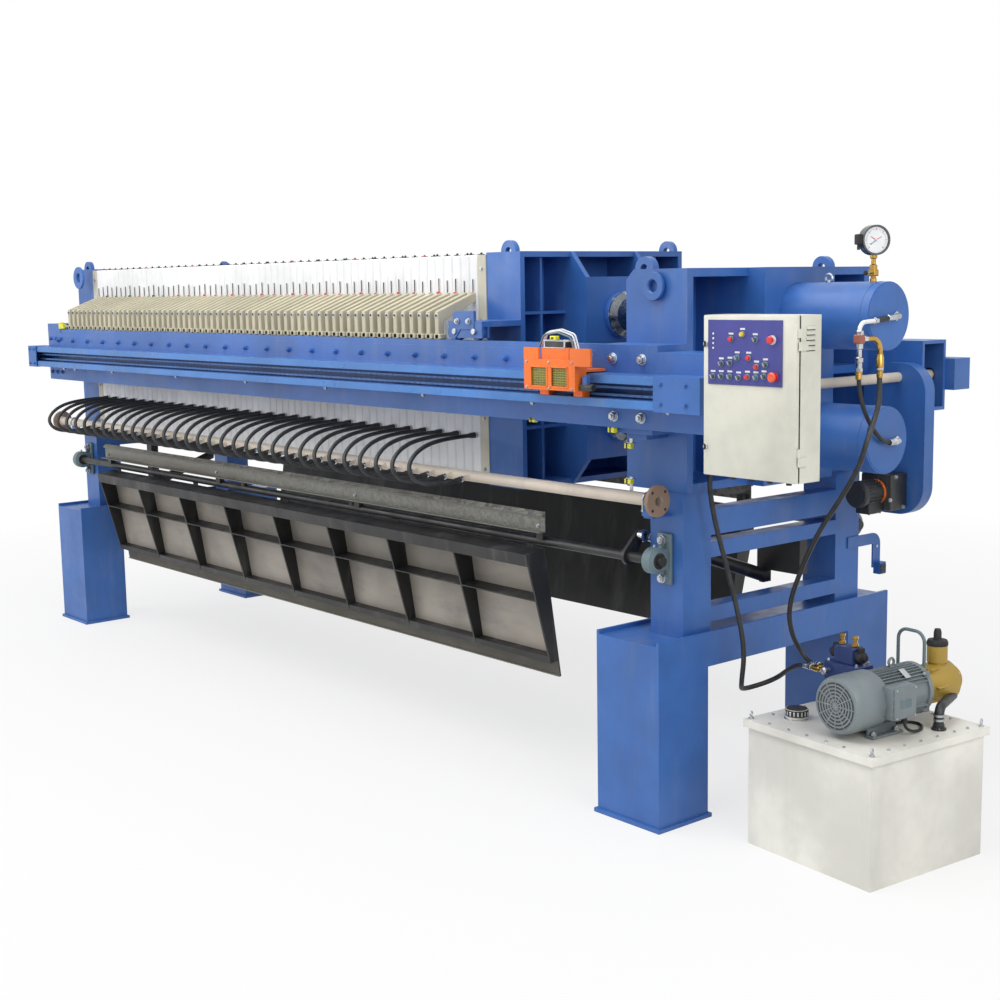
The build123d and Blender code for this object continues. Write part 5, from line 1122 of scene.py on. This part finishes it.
def add_trunnions():
    """Round lifting trunnions on the heads' outer faces, and the bolted face of the feed inlet."""
    piece = Piece("blue_paint")
    disc = turned([
        (28, 0), (50, 0), (50, 6), (66, 10), (68, 12), (68, 26), (66, 28), (34, 28), (28, 22),
    ], 36)
    for node, x, z, size in (("fixed_head", 0.216, 2.718, 1.25), ("cylinder_seat", 6.474, 2.591, 1.0)):
        wider = Matrix.Diagonal((size, size, 1, 1))
        for corner, way in zip(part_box(node), (to_near, to_far)):
            piece.add(disc, at(x, corner[1], z, way) @ wider)
    piece.done("lifting_trunnions")
    piece = Piece("facing_beige")
    inlet = turned([(62.5, 0), (94.5, 0), (94.5, 3), (62.5, 3)], 40)
    piece.add(inlet, at(0, 0, inlet_z, behind))
    piece.ring(small_bolt, 8, (0.0785, 0, 0.003), at(0, 0, inlet_z, behind), "zinc_bolt", 0.39, upright=True)
    piece.done("feed_inlet_face")


# Power unit


def along_motor(station):
    """Place on the motor's axis, with Z along it."""
    return on_unit(motor_u, station, motor_z, to_far)


def add_motor():
    """Pump motor: finned body, end shields, domed fan cover with its grille, terminal box and foot."""
    piece = Piece("motor_grey")
    piece.add(rod(0.106, 0.300, 48), along_motor(-0.105))
    cover = turned([(0, 6), (100, 6), (122, 12), (131, 30), (132, 60), (132, 204), (128, 210), (0, 210)], 48)
    piece.add(cover, along_motor(-0.320))
    # The grille's slots are dark rings laid on the cover, painted shade of the openings behind it.
    for radius in range(18, 99, 16):
        outer = radius + 7.5
        slot = turned([(radius, -0.6), (outer, -0.6), (outer, 0.6), (radius, 0.6), (radius, -0.6)], 40)
        piece.add(slot, along_motor(-0.3142), "drive_black")
    piece.ring(block(0.005, 0.100, 0.0016, 0.0004), 12, (0, 0.055, 0), along_motor(-0.3150))
    for index in range(44):
        angle = 2 * pi * (index + 0.5) / 44
        if abs(angle - pi / 2) >= 0.42 and abs(angle - pi) >= 0.25:
            place = on_unit(motor_u, 0.045, motor_z) @ about("Y", angle)
            piece.add(block(0.0034, 0.300, 0.017), place @ spot(0, 0, 0.1125))
    shield = turned([(0, 0), (118, 0), (121, 4), (121, 20), (112, 26), (0, 26)], 48)
    piece.add(shield, along_motor(0.174))
    piece.add(shield, along_motor(-0.118))
    for angle in (0.785, 2.356, 3.927, 5.498):
        lug = along_motor(0.187) @ spot(0.117 * cos(angle), 0.117 * sin(angle), 0)
        piece.add(block(0.024, 0.024, 0.030, 0.004), lug)
        piece.add(small_bolt, lug @ spot(0, 0, -0.015) @ about("X", pi), "zinc_bolt")
    box_u, box_v, box_z = motor_u + 0.139, -0.064, motor_z + 0.011
    lid = on_unit(box_u + 0.035, box_v, box_z)
    piece.add(block(0.062, 0.150, 0.150, 0.010, 2), on_unit(box_u, box_v, box_z))
    piece.add(block(0.013, 0.140, 0.142, 0.005, 2), lid)
    piece.add(block(0.0012, 0.074, 0.040), lid @ spot(0.0068, 0, -0.004), "bearing_grey")
    for v, z in product((-0.060, 0.060), (-0.062, 0.062)):
        piece.add(rod(0.005, 0.004, 6), lid @ spot(0.006, v, z, ahead), "zinc_bolt")
    gland = turned([(0, 0), (15, 0), (15, 10), (12, 12), (12.5, 22), (0, 22)], 16)
    piece.add(gland, spot(3.8117, -0.403, 0.6690), "tie_black")
    plate = on_unit(motor_u + 0.070, 0.055, motor_z + 0.102) @ about("Y", radians(34))
    piece.add(block(0.056, 0.034, 0.003, 0.0006), plate, "zinc_bolt")
    eye = turned([(14, -6), (20, -6), (24, 0), (20, 6), (14, 6), (14, -6)], 20)
    piece.add(eye, on_unit(motor_u, 0.045, motor_z + 0.142, ahead))
    piece.add(rod(0.012, 0.018, 12), on_unit(motor_u, 0.045, motor_z + 0.106))
    for u in (0.030, 0.187):
        inner = motor_u + (u - motor_u) * 0.72
        piece.add(block(0.046, 0.200, 0.012, 0.003), on_unit(u, -0.080, 0.607))
        piece.add(block(0.016, 0.180, 0.050, 0.004), on_unit(inner, -0.080, 0.630))
        for v in (-0.155, -0.005):
            piece.add(middle_bolt, on_unit(u, v, 0.613), "zinc_bolt")
    piece.add(block(0.120, 0.160, 0.040, 0.006), on_unit(motor_u, -0.080, 0.640))
    piece.done("finned_pump_motor", stands_for=["pump_motor"])


def add_pump():
    """Bell housing, pump, return filter with its cap, and the suction and return pipes."""
    piece = Piece("pump_gold")
    bell = turned([
        (0, 200), (80, 200), (83, 206), (83, 222), (72, 232), (70, 262), (78, 290), (92, 330), (99, 364),
        (100, 386), (100, 410), (70, 414), (70, 455), (60, 469), (0, 470),
    ], 40)
    piece.add(bell, along_motor(0.0))
    flange = along_motor(0.386)
    piece.ring(small_bolt, 6, (0.088, 0, 0.024), flange, "zinc_bolt", pi / 6)
    piece.ring(block(0.020, 0.010, 0.120, 0.003), 6, (0.083, 0, -0.060), flange)
    head = turned([(0, 0), (46, 0), (46, 60), (42, 66), (42, 90), (47, 96), (47, 172), (0, 173)], 32)
    piece.add(head, on_unit(motor_u, 0.360, motor_z))
    cap_foot = on_unit(motor_u, 0.360, 0.930)
    cap = turned([
        (0, 0), (48, 0), (48, 16), (44, 25), (20, 28), (18, 34), (18, 60), (13.5, 76), (0, 76),
    ], 28)
    piece.add(cap, cap_foot, "tie_black")
    piece.ring(block(0.003, 0.006, 0.014, 0.001), 16, (0.0475, 0, 0.009), cap_foot, "tie_black")
    u, v, suction_z = 0.274, 0.177, motor_z - 0.056
    suction_foot = on_unit(u, v, lid_top)
    suction = bent_pipe([(u, v, lid_top), (u, v, suction_z), (0.1786, 0.390, suction_z)], 0.022, 0.048, 20)
    piece.add(suction, unit, "drive_black")
    collar = turned([(0, 0), (34, 0), (34, 8), (26, 10), (26, 26), (0, 26)], 22)
    piece.add(collar, suction_foot, "drive_black")
    piece.ring(rod(0.004, 0.005, 6), 4, (0.029, 0, 0.007), suction_foot, "zinc_bolt", pi / 4)
    clip = turned([(21, 0), (24.5, 0), (24.5, 10), (21, 10)], 22)
    for z in (0.640, 0.660):
        piece.add(clip, on_unit(u, v, z), "zinc_bolt")
    left, right, v, top_z = -0.027, 0.1246, 0.250, lid_top + 0.405
    loop = [(left, v, lid_top), (left, v, top_z), (right, v, top_z), (right, v, 0.829)]
    piece.add(bent_pipe(loop, 0.008, 0.050, 14), unit, "bearing_grey")
    nut = rod(0.015, 0.016, 6, 0.0015)
    piece.add(nut, on_unit(left, v, lid_top), "zinc_bolt")
    piece.add(nut, on_unit(right, v, 0.826), "brass")
    piece.done("pump_and_filter", stands_for=["oil_pump"])


def add_valves():
    """Valve block on its stand: solenoids, knobs, plugs and port fittings."""
    piece = Piece("valve_blue")
    low = 0.745

    def on_block(du, dv, z, way=None):
        return on_unit(-0.175 + du, 0.080 + dv, z, way)

    piece.add(block(0.206, 0.116, 0.090, 0.005), on_block(0, 0, low + 0.046))
    piece.add(block(0.120, 0.070, 0.145, 0.004), on_block(0, 0, lid_top + 0.0725), "drive_black")
    piece.add(block(0.150, 0.090, 0.008, 0.002), on_block(0, 0, lid_top + 0.004), "drive_black")
    piece.add(block(0.116, 0.080, 0.080, 0.005), on_block(0, 0, low + 0.130))
    coil = turned([(0, 0), (26, 0), (26, 36), (14, 40), (14, 52), (0, 54)], 20)
    for way in (behind, ahead):
        piece.add(coil, on_block(way[0] * 0.056, 0, low + 0.128, way), "tie_black")
        piece.add(block(0.026, 0.026, 0.022, 0.003), on_block(way[0] * 0.076, 0, low + 0.162), "tie_black")
    plug = turned([(0, 0), (17, 0), (17, 14), (12, 16), (12, 34), (16, 36), (16, 50), (0, 50)], 6)
    for du in (-0.040, 0.040):
        piece.add(plug, on_block(du, 0, low + 0.173), "brass")
    for du, dv in product((-0.085, 0.085), (-0.040, 0.040)):
        piece.add(small_bolt, on_block(du, dv, low + 0.091), "zinc_bolt")
    knob = turned([(0, 0), (10, 0), (10, 20), (18, 22), (18, 36), (10, 42), (0, 42)], 16)
    for du in (-0.070, 0.060):
        piece.add(knob, on_block(du, -0.058, low + 0.050, to_near), "zinc_bolt")
    port = turned([
        (0, 0), (17, 0), (17, 20), (12, 24), (12, 50), (16.5, 54), (16.5, 86), (12, 90), (12, 108), (0, 108),
    ], 18)
    for dv in (-0.025, 0.025):
        piece.add(port, on_block(-0.105, dv, 0.775, behind), "brass")
    piece.done("valve_stack", stands_for=["valve_block"])


def add_lid_fittings():
    """Filler with its cap, lid bolts and the eyes that the lid is lifted by."""
    piece = Piece("zinc_bolt")
    filler = on_unit(-0.240, -0.191, lid_top)
    neck = turned([(0, 0), (58, 0), (58, 4), (50, 6), (50, 16), (0, 16)], 32)
    piece.add(neck, filler, "chrome")
    cap = turned([(0, 16), (53.5, 16), (53.5, 44), (48, 49.5), (0, 49.8)], 32)
    piece.add(cap, filler, "tie_black")
    piece.ring(block(0.003, 0.008, 0.020, 0.001), 18, (0.0530, 0, 0.030), filler, "chrome")
    piece.ring(rod(0.003, 0.003, 6), 4, (0.054, 0, 0.004), filler, start=0.4)
    bolt_rows = (
        *product((0.345, -0.345), (-0.237, -0.134, -0.028, 0.082, 0.198, 0.289)),
        *product((-0.248, -0.129, -0.018, 0.097, 0.201), (-0.358, 0.352)),
    )
    bolt = hex_bolt(0.007)
    for u, v in bolt_rows:
        piece.add(bolt, on_unit(u, v, lid_top))
    stud = turned([(0, 0), (12, 0), (12, 6), (7, 8), (7, 14), (0, 14)], 12)
    eye = turned([(8, -3), (12, -3), (15, 0), (12, 3), (8, 3), (8, -3)], 16)
    for u, v in product((-0.362, 0.362), repeat=2):
        piece.add(stud, on_unit(u, v, lid_top))
        piece.add(eye, on_unit(u, v, lid_top + 0.024, (1, 0.3, 0)))
    piece.done("tank_lid_fittings")


# Finishes of the pieces that stay as they are

# The piston rods get the chrome that is darkened as painted shade.
own_finish = {"piston_rods": "rod_chrome", "oil_tank": "tank_cream", "tank_lid": "tank_cream"}


def finish_frame():
    """Each CAD node gets the finish named for it above, or else that of its material slot."""
    for entry in frame["record"]["subparts"]:
        node = frame["nodes"].get(entry["node"])
        if node:
            node.data.materials.clear()
            node.data.materials.append(finishes[own_finish.get(entry["node"], entry["material_slot"])])


# Floor, light and camera


def direct_rays(tree):
    """The socket that is 1 for camera, glossy and transmission rays, else 0."""
    path = grow(tree, "LightPath", {}).node
    found = path.outputs["Is Camera Ray"]
    for ray in ("Is Glossy Ray", "Is Transmission Ray"):
        found = grow(tree, "Math", {0: found, 1: path.outputs[ray]}, operation="MAXIMUM")
    return found


def add_stage():
    """Pale floor that fades into a white surround, with soft light from above and both sides."""
    bpy.ops.mesh.primitive_plane_add(size=80)
    floor = bpy.context.object
    floor.name = "floor"
    finish = Finish("pale floor", (0.8, 0.8, 0.8), 0.7)
    tree = finish.material.node_tree
    reach = finish.grow("VectorMath", {0: finish.place}, "Value", operation="LENGTH")
    limits = {"From Min": 2.5, "From Max": 9.0, "To Min": 0.72, "To Max": 1.0}
    fade = finish.grow("MapRange", {"Value": reach, **limits}, "Result")
    mixed = finish.grow("MixShader", {
        0: finish.times(direct_rays(tree), fade), 1: tree.nodes["Principled BSDF"].outputs[0],
        2: finish.grow("Emission", {}),
    })
    feed(tree, tree.nodes["Material Output"], {"Surface": mixed})
    floor.data.materials.append(finish.material)
    world = bpy.data.worlds.new("studio")
    bpy.context.scene.world = world
    world.use_nodes = True
    tree = world.node_tree
    level = grow(tree, "MapRange", {"Value": direct_rays(tree), "To Min": 0.48, "To Max": 1.0}, "Result")
    feed(tree, tree.nodes["Background"], {"Strength": level, "Color": (1, 1, 1, 1)})
    for name, place, size, power in (
        ("overhead", (1.0, -3.5, 8.0), 7.0, 470), ("left", (-6.5, -6.5, 4.5), 4.0, 190),
        ("right", (9.0, -2.0, 5.0), 4.0, 190),
    ):
        lamp = bpy.data.objects.new(name, bpy.data.lights.new(name, "AREA"))
        lamp.data.energy = power
        lamp.data.size = size
        lamp.matrix_world = spot(*place, Vector(place) - Vector((0.5, 0, 1.6)))
        bpy.context.scene.collection.objects.link(lamp)
    bpy.context.scene.view_settings.view_transform = "Standard"


def add_camera():
    """Camera that looks along the yaw and pitch, then rolls about its own axis."""
    data = bpy.data.cameras.new("camera")
    data.lens = camera_lens
    data.sensor_width = 36
    data.clip_end = 100
    camera = bpy.data.objects.new("camera", data)
    bpy.context.scene.collection.objects.link(camera)
    turn = about("Z", radians(camera_yaw)) @ about("X", radians(90 - camera_pitch))
    camera.matrix_world = spot(*camera_place) @ turn @ about("Z", radians(camera_roll))
    bpy.context.scene.camera = camera


add_camera()
add_hoses()
add_hose_ends()
finish_frame()
add_plates("chamber_plate_row", "chamber_plates", 0)
add_plates("membrane_plate_row", "membrane_plates", 1)
add_facing_bolts("fixed_facing_bolts", 0.319, "frame")
add_facing_bolts("moving_facing_bolts", 5.099, "head")
add_open_face("last_plate_cloth", "frame", pack_end - 0.00085, 1, [
    (0, 0, 0.0006, 1.10, 1.10, 0.0002),
], "cloth")
add_open_face("moving_facing_rim", "head", pack_end - 0.00015, -1, [
    (0, 0.565, 0.0003, 1.16, 0.03), (0, -0.565, 0.0003, 1.16, 0.03),
    (0.565, 0, 0.0003, 0.03, 1.10), (-0.565, 0, 0.0003, 0.03, 1.10),
], "tie_black")
add_frame_bolts()
add_track_faces()
add_chains()
add_portal_details()
add_shifter_details("near", near)
add_shifter_details("far", far)
add_head_details()
add_cylinder_details()
add_fittings()
add_gauge()
add_cabinet_door()
add_cabinet_body()
add_sensors()
add_manifold()
add_bearings()
add_flap_sheets("near", near)
add_flap_sheets("far", far)
add_drive()
add_switch()
add_trunnions()
add_motor()
add_pump()
add_valves()
add_lid_fittings()
add_stage()
